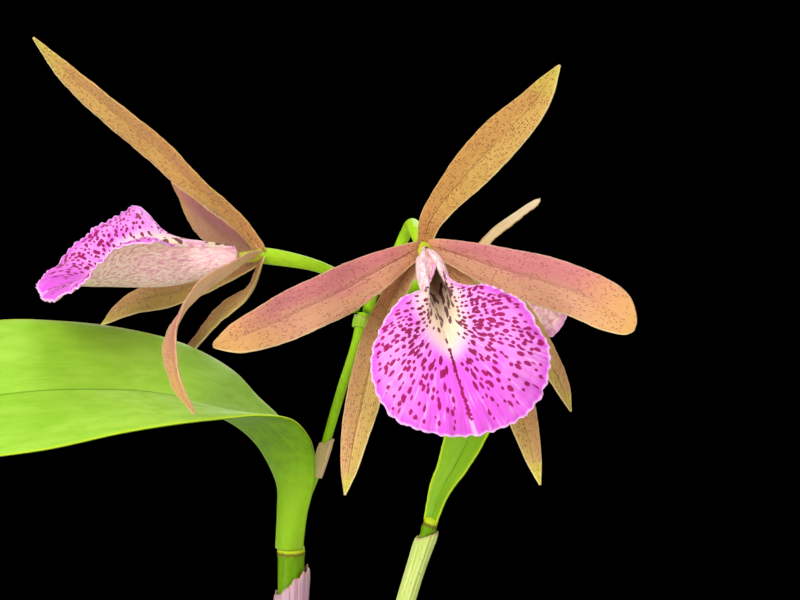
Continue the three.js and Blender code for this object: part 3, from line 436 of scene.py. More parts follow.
def lip_look(name):
    """The lip: crimson blobs in rows on magenta and pale pink, a cream streaked throat, a pale back."""
    s = Shade(name, roughness=0.55, subsurface=0.04, specular=0.14, sheen=0.05)
    edge = s.surface()
    ray, reach = s.across, s.along
    side, spots, streaks = s.attribute("side")
    rough = s.noise(s.position(), 0.9, 3.0, 0.6)
    cloud = s.grain(0.4, 0.13, 9.0)
    fibre = s.grain(5.0, 0.12, 4.0)
    mottle = s.grain(2.4, 0.7, 6.0, 4.0, 0.7)
    from_tip = s.math("ABSOLUTE", s.math("SUBTRACT", ray, TIP_RAY))
    flush = s.smooth(from_tip, 1.0, 4.5, 0.95, 0.0)
    flush = s.math("MAXIMUM", flush, s.smooth(edge, 0.8, 5.5, 0.9, 0.0))
    flush = s.math("MAXIMUM", flush, s.smooth(cloud, 0.46, 0.7, 0.0, 0.8))
    flush = s.times(flush, s.smooth(reach, 0.5, 5.0))
    tone = s.mix(flush, srgb(232, 136, 220), srgb(222, 84, 214))
    tone = s.tint(tone, srgb(206, 84, 206), fibre, 0.5, 0.75, 0.3)
    tone = s.tint(tone, srgb(250, 215, 246), fibre, 0.48, 0.28, 0.35)
    crease = s.times(s.near(ray, TIP_RAY, 0.03, 0.1), s.smooth(edge, 6.0, 8.0, 0.7, 0.0))
    tone = s.mix(crease, tone, srgb(246, 200, 240))
    tone = s.tint(tone, srgb(244, 196, 236), edge, 0.9, 0.2, 0.8)
    tone = s.tint(tone, srgb(238, 204, 198), reach, 5.5, 0.2)
    blob = s.smooth(s.plus(spots, s.swing(rough, 1.1)), -0.02, 0.16)
    thread = s.near(s.plus(ray, s.swing(rough, 0.2)), TIP_RAY, 0.04, 0.05)
    thread = s.times(thread, s.times(s.smooth(reach, 0.5, 1.5), s.smooth(edge, 6.0, 7.5)))
    crimson = s.tint(srgb(122, 0, 54), srgb(154, 2, 86), reach, 2.0, 14.0)
    tone = s.mix(s.times(s.math("MAXIMUM", blob, s.times(thread, 0.8)), 0.97), tone, crimson)
    throat = s.tint(srgb(240, 222, 190), srgb(226, 196, 170), fibre, 0.35, 0.7)
    tone = s.tint(tone, throat, reach, 0.6, -1.0)
    tone = s.tint(tone, srgb(92, 6, 44), s.plus(streaks, s.swing(rough, 0.9)), -0.1, 0.15, 0.9)
    rear = s.tint(srgb(255, 226, 218), srgb(228, 152, 178), mottle, 0.42, 0.62)
    rear = s.tint(rear, srgb(232, 150, 216), edge, 3.0, 0.3, 0.6)
    relief = s.plus(fibre, s.times(rough, 0.2))
    return s.done(s.two_sided(side, tone, rear), relief, strength=0.4, depth=0.0004)


def stem_look(name, low, high, shade, gloss=0.4, ring_at=None):
    """A green stem: colour changes along it, fine lengthwise lines, soft mottling, perhaps a brown ring."""
    s = Shade(name, roughness=gloss, subsurface=0.04, specular=0.1)
    t = s.surface()
    lines = s.grain(3.2, 0.12, 0.0)
    mottle = s.grain(0.7, 0.5, 4.0, 4.0)
    tone = s.tint(low, high, t, 0.15, 0.85)
    tone = s.tint(tone, shade, lines, 0.4, 0.7, 0.35)
    tone = s.tint(tone, scaled(high, 1.3), mottle, 0.45, 0.75, 0.3)
    if ring_at:
        ragged = s.plus(t, s.swing(lines, 0.012))
        tone = s.tint(tone, srgb(176, 196, 30), ragged, ring_at - 0.002, ring_at + 0.002)
        tone = s.mix(s.times(s.near(ragged, ring_at, 0.002, 0.004), 0.8), tone, srgb(96, 74, 20))
    s.put(s.shader, "Roughness", s.smooth(mottle, 0.2, 0.8, gloss - 0.08, gloss + 0.12))
    return s.done(tone, lines, strength=0.3, depth=0.0002)


# Materials of the leaves, canes and sheaths
def leaf_look(name, top_low, top_high):
    """A leathery leaf: parallel veins, soft mottling, a midrib and a pale margin, and a dull back painted
    darker, partly its own colour and partly painted shade.
    """
    s = Shade(name, roughness=0.5, subsurface=0.05, specular=0.1)
    edge = s.surface()
    side, _, t = s.attribute("side")
    veins = s.grain(1.9, 0.03, 0.0)
    mottle = s.grain(0.3, 0.2, 3.0, 5.0, 0.6)
    cloud = s.grain(0.08, 0.04, 8.0, 2.0)
    rib = s.near(s.across, 0.0, 0.12, 0.35)
    tone = s.tint(top_low, top_high, cloud, 0.3, 0.7)
    tone = s.tint(tone, srgb(118, 172, 22), mottle, 0.38, 0.7, 0.4)
    tone = s.tint(tone, srgb(164, 206, 76), veins, 0.45, 0.7, 0.18)
    tone = s.mix(s.times(rib, 0.55), tone, srgb(78, 128, 10))
    tone = s.tint(tone, srgb(186, 206, 40), edge, 0.5, 0.15, 0.8)
    # The back's darker greens are partly the leaf's own colour and partly painted shade on its underside.
    rear = s.tint(srgb(84, 122, 10), srgb(102, 144, 16), mottle, 0.3, 0.7)
    rear = s.tint(rear, srgb(134, 176, 28), t, 0.32, 0.02, 0.85)
    rear = s.tint(rear, srgb(144, 184, 46), veins, 0.45, 0.7, 0.2)
    rear = s.mix(s.times(rib, 0.5), rear, srgb(150, 184, 50))
    s.put(s.shader, "Roughness", s.smooth(mottle, 0.2, 0.8, 0.42, 0.58))
    relief = s.plus(veins, s.times(mottle, 0.5))
    return s.done(s.two_sided(side, tone, rear), relief, strength=0.25, depth=0.0003)


def sheath_look(name, pale, dark, green):
    """A papery sheath: close lengthwise fibres, brown freckles and a thin frayed margin."""
    s = Shade(name, roughness=0.72, subsurface=0.1, specular=0.25, sheen=0.1)
    edge = s.surface()
    fibres = s.grain(2.8, 0.05, 0.0, 3.0, 0.65)
    cloud = s.grain(0.25, 0.12, 5.0, 4.0)
    speck, chance = s.cells(s.join(s.times(s.across, 1.1), s.times(s.along, 0.7)), 1.0)
    freckle = s.times(s.smooth(speck, 0.3, 0.12), s.smooth(chance, 0.6, 0.75))
    tone = s.tint(pale, dark, fibres, 0.35, 0.68)
    tone = s.tint(tone, green, cloud, 0.4, 0.7, 0.55)
    tone = s.mix(s.times(freckle, 0.4), tone, srgb(120, 74, 50))
    tone = s.tint(tone, srgb(190, 150, 120), edge, 0.8, 0.1, 0.6)
    return s.done(tone, s.plus(fibres, s.times(freckle, 0.3)), strength=0.5, depth=0.0004)


# Materials of the bark, roots and pot
def bark_look():
    s = Shade("bark", roughness=0.9, specular=0.2)
    chip = s.attribute("own")[0]
    grain = s.noise(s.position(), 0.9, 5.0, 0.65)
    fine = s.noise(s.position(), 4.0, 3.0, 0.6)
    tone = s.tint(srgb(74, 46, 30), srgb(134, 90, 60), grain, 0.3, 0.7)
    tone = s.tint(tone, srgb(168, 118, 78), chip, 0.0, 1.0, 0.55)
    tone = s.tint(tone, srgb(48, 30, 20), fine, 0.55, 0.75, 0.5)
    return s.done(tone, s.plus(grain, s.times(fine, 0.6)), strength=0.9, depth=0.0012)


def root_look():
    s = Shade("root", roughness=0.7, subsurface=0.08, specular=0.3)
    s.surface()
    felt = s.grain(1.6, 0.9, 0.0, 5.0, 0.65)
    rings = s.near(s.math("FRACT", s.times(s.along, 0.22)), 0.5, 0.04, 0.16)
    tone = s.tint(srgb(206, 204, 186), srgb(150, 156, 118), felt, 0.35, 0.7)
    tone = s.mix(s.times(rings, 0.4), tone, srgb(140, 110, 70))
    return s.done(tone, s.plus(felt, s.times(rings, 0.5)), strength=0.6, depth=0.0005)


def terracotta_look():
    s = Shade("terracotta", roughness=0.85, specular=0.3)
    spot = s.position()
    cloud = s.noise(spot, 0.03, 4.0)
    grain = s.noise(spot, 1.4, 4.0, 0.65)
    turned = s.noise(s.join(0.0, 0.0, s.split(spot)[2]), 1.2, 2.0)
    lime = s.noise(spot, 0.09, 5.0, 0.7)
    tone = s.tint(srgb(184, 104, 68), srgb(204, 126, 88), cloud, 0.3, 0.7)
    tone = s.tint(tone, srgb(150, 80, 52), grain, 0.5, 0.75, 0.35)
    tone = s.tint(tone, srgb(226, 196, 172), lime, 0.58, 0.78, 0.45)
    return s.done(tone, s.plus(s.times(grain, 0.5), turned), strength=0.35, depth=0.0006)


# For the tepals, upper and lower are the tones of the halves facing up and down, partly painted light and
# shade.
DORSAL_LOOK = tepal_look(
    "dorsal_sepal",
    upper=srgb(196, 146, 74), lower=srgb(204, 164, 84), foot=srgb(190, 130, 80), tip=srgb(196, 186, 66),
    dots=srgb(112, 44, 38), back=srgb(204, 168, 96), dot_amount=0.85, foot_until=0.3, tip_from=1.02,
)
SEPAL_LOOK = tepal_look(
    "lateral_sepal",
    upper=srgb(192, 148, 92), lower=srgb(190, 160, 80), foot=srgb(196, 134, 104), tip=srgb(196, 186, 66),
    dots=srgb(126, 68, 62), back=srgb(200, 168, 98), dot_amount=0.65, foot_until=0.4, tip_from=1.05,
)
# The petals' back colour is partly their own paler back and partly painted light, raised so that the shaded
# near petal of the left flower looks lit.
PETAL_LOOK = tepal_look(
    "petal",
    upper=srgb(194, 116, 114), lower=srgb(204, 150, 112), foot=srgb(198, 146, 84), tip=srgb(206, 156, 84),
    dots=srgb(138, 52, 56), back=srgb(230, 184, 130), dot_amount=0.5, foot_until=0.16, tip_from=0.78,
)
LIP_LOOK = lip_look("lip")
COLUMN_LOOK = stem_look("column", srgb(196, 206, 60), srgb(226, 216, 110), srgb(150, 160, 40))
STEM_LOOK = stem_look("stem", srgb(136, 182, 8), srgb(150, 198, 30), srgb(90, 140, 6))
BRACT_LOOK = sheath_look("bract", srgb(160, 200, 50), srgb(128, 176, 26), srgb(150, 196, 40))
STALK_LOOK = stem_look("stalk", srgb(140, 190, 14), srgb(172, 214, 40), srgb(104, 156, 8))
CANE_LOOK = stem_look("cane", srgb(88, 128, 3), srgb(100, 142, 3), srgb(64, 100, 1), 0.36, ring_at=0.985)
LEAF_LOOK = leaf_look("leaf", srgb(142, 192, 44), srgb(162, 206, 68))
SECOND_LEAF_LOOK = leaf_look("second_leaf", srgb(108, 152, 24), srgb(128, 172, 34))
DRY_LOOK = sheath_look("dry_sheath", srgb(196, 160, 172), srgb(154, 118, 122), srgb(178, 130, 152))
GREEN_SHEATH_LOOK = sheath_look("green_sheath", srgb(204, 216, 130), srgb(170, 190, 84), srgb(180, 200, 90))
SPATHE_LOOK = sheath_look("spathe", srgb(222, 194, 150), srgb(178, 146, 104), srgb(196, 184, 106))
BARK_LOOK = bark_look()
ROOT_LOOK = root_look()
TERRACOTTA_LOOK = terracotta_look()


# Blades: sepals, petals and the second leaf
BLADE_ROWS = 110
BLADE_COLUMNS = 30
LEAST_HALF_WIDTH = 0.22
WAVES = 3
THIN_EDGE = 0.35


def blade_width(spec, t, seed):
    """Half the width along a blade: its table's outline, a rounded tip and a faint unevenness."""
    tip_length = spec.get("tip_length", 0.1)
    into_tip = np.maximum(0, (t - 1 + tip_length) / tip_length)
    width = spec["half_width"] * profile(spec["widths"], t) * np.sqrt(1 - 0.998 * into_tip**2)
    return np.maximum(width * (1 + 0.015 * ripple(t * 26, seed)), LEAST_HALF_WIDTH)


def blade_lift(spec, t, u, width, seed):
    """How far a blade stands off its midrib's plane: cupped, wavy, uneven at the edges and grooved."""
    wave = spec.get("wave", 0.0) * np.sin(WAVES * 2 * math.pi * t) * np.minimum(1, 4 * t)
    lift = spec.get("cup", 0.12) * width * u**2 + wave * u * np.abs(u)
    lift += 0.22 * u**4 * np.where(u > 0, ripple(t * 17, seed + 3), ripple(t * 15, seed + 4))
    lift -= spec.get("groove", 0.25) * np.exp(-((u / 0.09) ** 2)) * np.minimum(1, 6 * (1 - t))
    if "fold" in spec:
        depth, middle, until = spec["fold"]
        lift -= depth * smoothstep(t, until, 0.0) * np.exp(-(((u - middle) / 0.35) ** 2))
    return lift


def blade(name, look, slot, spec, centre=(0, 0, 0)):
    """A blade along a midrib, with the same outline as its CAD node, thin edges and a soft relief."""
    line, tangent, length = even_curve(spec["points"], BLADE_ROWS + 1)
    t = np.linspace(0, 1, BLADE_ROWS + 1)[:, None]
    u = np.linspace(-1, 1, BLADE_COLUMNS + 1)[None]
    face = unit(spec["face"])
    tip_face = unit(spec.get("tip_face", spec["face"]))
    side = unit(np.cross(tangent, face + (tip_face - face) * t))
    normal = np.cross(side, tangent)
    seed = sum(map(ord, name))
    width = blade_width(spec, t, seed)
    across = u * width
    lift = blade_lift(spec, t, u, width, seed)
    grid = line[:, None] + side[:, None] * across[..., None] + normal[:, None] * lift[..., None]
    edge = np.minimum(width * (1 - np.abs(u)), 0.8 * length * (1 - t))
    thick = spec.get("thickness", 0.9) * (THIN_EDGE + (1 - THIN_EDGE) * smoothstep(edge, 0.0, 1.6))
    points, faces = sheet(grid + np.asarray(centre, float), thick)
    # Which half faces up; the tepals' two tones on it are partly painted light and shade.
    upward = 1 if np.mean(side[:, 2]) > 0 else -1
    values = sheet_values(grid.shape[:2], across, t * length, edge, upward * u, t)
    place(add_object(name + "_blade", points, faces, look, values), slot, name)


SEPAL_WIDTHS = [0.36, 0.56, 0.74, 0.9, 1, 0.98, 0.84, 0.56, 0.2]
PETAL_WIDTHS = [0.3, 0.56, 0.82, 0.96, 1, 0.99, 0.9, 0.7, 0.35]
BLUNT_WIDTHS = [0.29, 0.5, 0.72, 0.86, 0.97, 1, 0.98, 0.92, 0.72]
TO_VIEWER = [0, -0.99, 0.14]
TEPAL_ROOT = 0.25


def tepal(half_width, widths, face, points, **more):
    """One sepal's or petal's numbers. A first point deeper in the flower joins it to its neighbours."""
    root = [TEPAL_ROOT * v for v in points[0]]
    return {"half_width": half_width, "widths": widths, "face": face, "points": [root, *points], **more}


# Lips. Each ray has its angle on the tube, the mouth's edge and the rim: right, up and forward.
LIP_FOOT_DISTANCE = 5.0
LIP_FOOT_RADIUS = 2.5
LIP_FOOT_FLATTENING = 0.8
LIP_FOOT_DROP = 0.9
LIP_TUBE_HALF_WIDTH = 3.3
LIP_TUBE_HALF_HEIGHT = 4.9
LIP_THICKNESS = 0.8
SPOT_RIM_GAP = 1.9
STREAK_RIM_GAP = 0.4
MOUTH_FORWARD = 27.0
MOUTH_DROP = 13.3
MOUTH_SAG = 1.8
BLADE_HUMP = 4.2
OPEN_LIP_RAYS = [
    [-172, [0.4, -0.9, 7.6], [0.4, -1.6, 9.2]],
    [-172, [1.2, -3.2, 12.4], [1.5, -4.2, 13.6]],
    [-172, [0.4, -6.0, 16.6], [0.6, -6.4, 18.6]],
    [-171, [-0.9, -8.2, 19.2], [-0.7, -8.1, 21.2]],
    [-161, [-1.9, -9.6, 21.5], [-2.5, -9.5, 23.4]],
    [-157, [-2.2, -10.3, 23.4], [-5.0, -9.9, 25.0]],
    [-146, [-2.6, -11.6, 24.4], [-8.9, -10.6, 25.2]],
    [-126, [-3.0, -13.4, 25.0], [-13.9, -14.8, 25.6]],
    [-101, [-3.3, -15.0, 25.2], [-17.9, -20.2, 25.6]],
    [-76, [-3.4, -16.5, 25.4], [-19.5, -25.0, 25.2]],
    [-56, [-3.2, -17.9, 25.6], [-19.4, -31.2, 24.6]],
    [-39, [-2.8, -19.3, 25.8], [-17.0, -37.0, 24.0]],
    [-25, [-2.3, -20.9, 26.0], [-12, -41, 23.6]],
    [-14, [-1.7, -22.5, 26.2], [-5.8, -44.1, 23.6]],
    [-6, [-0.8, -24.0, 26.4], [0.2, -45.5, 23.8]],
    [3, [0.4, -23.6, 26.0], [5.9, -45.4, 23.6]],
    [10, [1.4, -22.8, 25.4], [12.0, -44.1, 23.8]],
    [20, [2.2, -21.6, 24.6], [16.9, -40.7, 24.4]],
    [31, [2.9, -20.2, 23.8], [20.5, -35.2, 25.0]],
    [45, [3.3, -18.9, 23.0], [21.6, -29.8, 25.6]],
    [61, [3.5, -17.6, 22.4], [20.4, -24.8, 25.6]],
    [86, [3.7, -15.9, 21.8], [18.7, -18.7, 25.4]],
    [111, [3.7, -14.2, 21.2], [15.7, -15.6, 25.2]],
    [131, [3.6, -12.6, 20.6], [11.8, -12.5, 24.8]],
    [145, [3.3, -11.1, 19.8], [8.2, -11.8, 24.0]],
    [156, [2.7, -9.4, 18.6], [5.0, -10.2, 22.4]],
    [167, [2.2, -6.8, 16.0], [3.2, -7.9, 19.2]],
    [172, [1.8, -3.6, 12.0], [2.0, -4.9, 14.2]],
    [172, [0.9, -0.9, 7.6], [1.0, -1.6, 9.0]],
]

# Half of a lip whose blade stands steeply on its tube, from the tip to the slit. The other half mirrors it.
STEEP_LIP_HALF = [
    [0, [0, -34.8, 20.5], [0, -46.6, 27.8]],
    [10, [1.6, -34.4, 20.3], [6.4, -46.4, 27.8]],
    [21, [3, -33.6, 20.1], [13, -45, 27.4]],
    [33, [4.1, -32.4, 20], [17.6, -42.6, 27]],
    [46, [4.9, -30.8, 19.9], [19.4, -38.6, 26.8]],
    [60, [5.5, -28.8, 20], [18.6, -34, 27.2]],
    [74, [5.8, -26.6, 20.3], [17.6, -29.5, 27.6]],
    [88, [5.8, -24.4, 20.7], [18.2, -25.3, 27.6]],
    [103, [5.6, -22, 20.6], [20.4, -20.5, 26.1]],
    [118, [5.2, -19, 19.5], [20.6, -16.1, 23.8]],
    [133, [4.4, -15.7, 17.3], [13, -15.1, 19.4]],
    [146, [3.4, -12.7, 14.6], [7.5, -14.6, 17.6]],
    [158, [2.4, -9.4, 11.6], [2.2, -12, 13.9]],
    [167, [1.4, -6.2, 8.3], [1.2, -8.3, 9.8]],
    [172, [0.6, -3.8, 5.9], [0.6, -4.4, 6.5]],
]


def mirrored(ray):
    angle, mouth, rim = ray
    return [-angle, [-mouth[0], *mouth[1:]], [-rim[0], *rim[1:]]]


STEEP_LIP_RAYS = [mirrored(ray) for ray in STEEP_LIP_HALF[:0:-1]] + STEEP_LIP_HALF

# Flowers: midribs and stalks are measured from the flower's centre. A lip faces along its normal.
FLOWERS = {
    "front": {
        "centre": [24.9, -8, 261.8],
        "dorsal_sepal": tepal(4.9, SEPAL_WIDTHS, TO_VIEWER, [[0.3, -0.7, 1.6], [1.4, -5, 6.6],
            [3.9, -9, 11.1], [9.8, -19, 19.4], [16.9, -30, 28.6], [24.1, -40, 37.3], [29.9, -49, 47]]),
        "petal_left": tepal(5.7, PETAL_WIDTHS, TO_VIEWER, [[-2.3, -2.9, -0.6], [-6.4, -5, -2.5],
            [-13.7, -9, -6], [-20.7, -14, -9.3], [-26.9, -18, -11.6], [-35.8, -23, -15.3],
            [-42.2, -26, -17.5], [-48.9, -27, -19.6]], wave=0.5),
        "petal_right": tepal(5.9, BLUNT_WIDTHS, TO_VIEWER, [[2.6, -2.7, 0.2], [6.4, -4.5, -0.6],
            [16.2, -9, -3.4], [27.7, -15, -6.1], [36.4, -19, -8.6], [43, -22, -11.7],
            [48.3, -25, -16.5]], wave=0.4, tip_length=0.14),
        "sepal_left": tepal(4.1, SEPAL_WIDTHS, TO_VIEWER, [[-1.3, -0.6, -1.8], [-6.2, -3, -9.4],
            [-10, -6, -17.8], [-13, -10, -28.7], [-14.6, -13, -35.8], [-16.3, -16, -42.7],
            [-18.6, -20, -56]], fold=(1.2, 0.1, 0.5)),
        "sepal_right": tepal(4, SEPAL_WIDTHS, TO_VIEWER, [[1.5, -0.6, -1.5], [6.1, -3, -5.3],
            [12.5, -7, -12.9], [17.9, -10, -23.2], [21.6, -13, -33.4], [23.9, -16, -41.3],
            [27.1, -20, -53.6]]),
        "lip": {
            "normal": [0, -0.99, 0.14],
            "right": [0.966, 0.036, 0.256],
        },
        "stalk": [[-13.4, 12.4, -17], [-12.3, 17, -13.6], [-7.4, 22, -6.5], [-4.6, 22, -0.1], [-3, 17, 3.2],
            [-1.6, 9, 2.5], [0, 0.4, 0.1]],
    },
    "left": {
        "centre": [-13.9, 2, 258.6],
        "dorsal_sepal": tepal(5.8, SEPAL_WIDTHS, [-0.6, -0.62, -0.48], [[-0.8, 0, 2.2], [-6.5, -1, 9.2],
            [-16.2, -3, 17.8], [-24.6, -5, 26.4], [-31.3, -7, 32.3], [-37.3, -8, 37.4], [-45.1, -9, 44.4],
            [-53.3, -10, 53]]),
        "petal_right": tepal(6.8, BLUNT_WIDTHS, [-0.72, -0.55, -0.42], [[-2.6, 3.1, 1.7], [-8.3, 16, 2.5],
            [-15.2, 31, 4.7], [-20.5, 44, 6.9], [-23, 53.5, 8.2]]),
        "petal_left": tepal(5.5, PETAL_WIDTHS, [-0.7, 0, 0.7], [[-2.4, -2.5, 0], [-7, -12.2, -2],
            [-13, -22, -5.2], [-17.1, -31, -8.7], [-19.3, -38, -13.3], [-19.3, -42, -17.8],
            [-17.6, -44, -24.4], [-13.9, -44, -31.2]], tip_face=[-0.93, -0.36, 0]),
        "sepal_left": tepal(4, SEPAL_WIDTHS, [-0.75, -0.3, 0.6], [[-0.4, -2, -1.7], [-3.2, 1.6, -9.2],
            [-10.3, 12, -16], [-16, 18, -22.9], [-20.8, 23, -29.6], [-24, 26, -36.6]]),
        "sepal_right": tepal(4, SEPAL_WIDTHS, [-0.4, -0.75, 0.5], [[-1.2, 1.9, -1.5], [-11.6, 11.4, -7],
            [-22.9, 20, -12], [-31.6, 28, -15.1], [-37.2, 32, -18.4], [-41.8, 36, -22.3]]),
        "lip": {
            "normal": [-0.62, -0.15, 0.77],
            "right": [0.2, -0.97, -0.13],
            "rays": STEEP_LIP_RAYS,
            "mouth_forward": 22,
            "mouth_drop": 28,
            "tube_sag": 2,
            "hump": 2.5,
        },
        "stalk": [[22.2, -0.8, -13], [21.3, 1.6, -10.7], [18.7, 3, -6.1], [14.4, 2, -3.4], [8.6, 1, -1.6],
            [0.5, 0, -0.1]],
    },
    "third": {
        "centre": [38.2, 38, 252.2],
        "dorsal_sepal": tepal(4.5, SEPAL_WIDTHS, [0.45, 0.1, -0.85], [[0.4, 0.8, 2.1], [6, 20, 6],
            [11.7, 40, 7.6], [17.9, 59, 9.2]]),
        "petal_right": tepal(5.4, PETAL_WIDTHS, [0.3, 0.9, 0.5], [[3.3, 1.5, 0], [11, 4.2, -1.8],
            [21, 8.4, -5.6], [28.8, 20.6, -10.3], [31.5, 38, -14]]),
        "petal_left": tepal(5.4, PETAL_WIDTHS, [0.3, 0.9, 0.5], [[-2.6, 3, 0.2], [-10, 13, -2.2],
            [-20.3, 27, -6.5], [-33.4, 39, -13.4]]),
        "sepal_right": tepal(3.7, SEPAL_WIDTHS, [0.5, -0.8, 0.2], [[1.6, 0.4, -2], [8.6, 8, -10.2],
            [16.2, 14, -23.1], [21.7, 18, -32.8], [24.9, 20, -41.2]]),
        "sepal_left": tepal(4, SEPAL_WIDTHS, [0.2, 0.9, 0.2], [[-1.2, 0.9, -1.9], [0.6, 9, -16.1],
            [1.4, 15, -29.9], [1, 19, -43.5], [-1, 21, -54.3]]),
        "lip": {
            "normal": [0.27, 0.93, 0.24],
            "right": [0.96, -0.28, 0],
            "tip_scale": 0.72,
            "side_scale": 0.96,
            "lift": 3.5,
        },
        "stalk": [[-26.4, -31.4, -9.4], [-22.6, -26, -7], [-16.1, -19, -3.8], [-8.1, -10, -1.9],
            [-0.3, -0.4, -0.1]],
    },
}


def lip_axes(spec):
    """The lip's own axes: right, up and forward, as rows."""
    forward = unit(spec["normal"])
    up = unit(np.cross(spec["right"], forward))
    if up[2] < 0:
        up = -up
    return np.stack([unit(np.cross(up, forward)), up, forward])


def lip_controls(spec):
    """Control points of every ray, from the foot over the mouth to the rim, in the lip's own axes."""
    rays = spec.get("rays", OPEN_LIP_RAYS)
    drop = spec.get("mouth_drop", MOUTH_DROP)
    forward = spec.get("mouth_forward", MOUTH_FORWARD)
    sag = spec.get("tube_sag", 0.0)
    angle = np.radians([ray[0] for ray in rays])
    mouth = np.array([ray[1] for ray in rays], float)
    edge = np.array([ray[2] for ray in rays], float)
    openness = 0.5 + 0.5 * np.cos(angle)
    flare = smoothstep(np.linalg.norm(mouth - edge, axis=1), 2.0, 8.0)
    side, tip = spec.get("side_scale", 1.0), spec.get("tip_scale", 1.0)
    scale = 1 + (side + (tip - side) * openness**2 - 1) * flare
    low = drop + MOUTH_SAG
    rim = np.stack([edge[:, 0] * scale, (edge[:, 1] + low) * scale - low, edge[:, 2]], -1)
    axis = unit([0, -drop, forward])
    distance = 0.5 * (LIP_FOOT_DISTANCE + np.minimum(mouth @ axis, math.hypot(drop, forward)))
    grown = smoothstep(distance, LIP_FOOT_DISTANCE, 15.0)

    def on_tube(reach, half_width, half_height):
        rise = -half_height * np.cos(angle)
        return np.stack([half_width * np.sin(angle), axis[1] * reach + rise * axis[2],
                         axis[2] * reach - rise * axis[1]], -1)

    foot = on_tube(LIP_FOOT_DISTANCE, LIP_FOOT_RADIUS, LIP_FOOT_RADIUS - LIP_FOOT_FLATTENING)
    tube = on_tube(distance, LIP_FOOT_RADIUS + (LIP_TUBE_HALF_WIDTH - LIP_FOOT_RADIUS) * grown,
                   LIP_FOOT_RADIUS + (LIP_TUBE_HALF_HEIGHT - LIP_FOOT_RADIUS) * grown)
    middle = 0.5 * (mouth + rim)
    width = np.linalg.norm(rim - mouth, axis=1)
    middle[:, 2] += spec.get("hump", BLADE_HUMP) * smoothstep(width, 4.0, 20.0)
    control = np.stack([foot, tube, mouth, middle, rim], 1)
    control[..., 1] += spec.get("lift", 0.0) * smoothstep(control[..., 2], 16.0, 24.0)
    control[:, 0, 1] -= 0.25 * sag + LIP_FOOT_DROP
    control[:, 1, 1] -= sag * np.minimum(1, distance / 15)
    return control


def lip_grid(spec, k, steps):
    """The lip's middle surface: one row for each step along the rays, one column for each ray value."""
    control = lip_controls(spec)
    last = len(control) - 1
    fine = np.stack([[profile(control[:, c, axis], k / last) for axis in range(3)] for c in range(5)])
    return np.stack([spline(fine[:, :, column], steps) for column in range(len(k))], 1)


BLOB_ROWS = 84
FIRST_BLOB_ROW = 1.5
BLOB_ROW_STEP = 0.3
LAST_BLOB_REACH = 30
MIDDLE_BLOBS = 30


def blob_rows(source):
    """Places of the crimson blobs: ray, reach past the mouth, half length along the ray, half width.

    Every second row starts at the mouth. The rows by the middle start further out and are sparser, with
    longer blobs. One more row of short blobs runs down the middle.
    """
    blobs = []
    for step in range(BLOB_ROWS):
        ray = FIRST_BLOB_ROW + BLOB_ROW_STEP * step
        from_tip = abs(ray - TIP_RAY)
        if from_tip < 0.8:
            continue
        reach = 0.4 if step % 2 == 0 else 5.0
        if from_tip < 3:
            reach = max(reach, 5.0 + 2 * source.random())
        low = from_tip < 4.5
        missing = 0.3 if low else (0.08 if ray > TIP_RAY else 0.15)
        while reach < LAST_BLOB_REACH:
            wide = source.uniform(0.26, 0.5) * (0.8 if reach < 4 else 1.0)
            long = wide * (source.uniform(1.5, 3.2) if low else source.uniform(1.1, 2.6))
            if source.random() > missing:
                blobs.append((ray + source.uniform(-0.12, 0.12), reach, long, wide))
            reach += 2 * long + source.uniform(0.1, 0.6)
    for step in range(MIDDLE_BLOBS):
        blobs.append((TIP_RAY + source.uniform(-0.05, 0.05), 1 + 0.6 * step, 0.5, source.uniform(0.25, 0.6)))
    return blobs


DEEPEST_STREAK = -15.0
LAST_STREAK_REACH = 0.3


def streak_rows(source):
    """Places of the throat's maroon streaks inside the tube, up to the mouth."""
    streaks = []
    for step in range(LAST_RAY):
        ray = 0.6 + source.uniform(0.9, 1.1) * step
        reach = DEEPEST_STREAK
        while reach < LAST_STREAK_REACH:
            long = source.uniform(0.6, 1.7)
            if source.random() > 0.3:
                streaks.append((ray + source.uniform(-0.2, 0.2), reach, long, source.uniform(0.3, 0.6)))
            reach += 2 * long + source.uniform(0.2, 0.9)
    return streaks


MARK_SLACK = 0.6


def mark_field(grid, k, reach, edge, marks, rim_gap):
    """For each grid point, 1 at the middle of the nearest mark, 0 at its edge and -1 well outside.

    A mark is left out when it lies past the sheet's end or within rim_gap of the rim.
    """
    along = unit(np.gradient(grid, axis=0))
    across = np.gradient(grid, axis=1)
    across = unit(across - along * np.sum(across * along, -1, keepdims=True))
    field = np.full(grid.shape[:2], -1.0)
    columns = len(k)
    for ray, far, long, wide in marks:
        column = int(round((k[0] - ray) / (k[0] - k[-1]) * (columns - 1)))
        if not 0 <= column < columns:
            continue
        row = int(np.argmin(np.abs(reach[:, column] - far)))
        if abs(reach[row, column] - far) > MARK_SLACK or edge[row, column] < rim_gap:
            continue
        gap = grid - grid[row, column]
        length = np.sum(gap * along[row, column], -1) / long
        width = np.sum(gap * across[row, column], -1) / wide
        rest = np.sum(gap**2, -1) / max(long, wide) ** 2 - 4
        distance = np.sqrt(length**2 + width**2 + np.maximum(0, rest))
        field = np.maximum(field, 1 - distance)
    return field


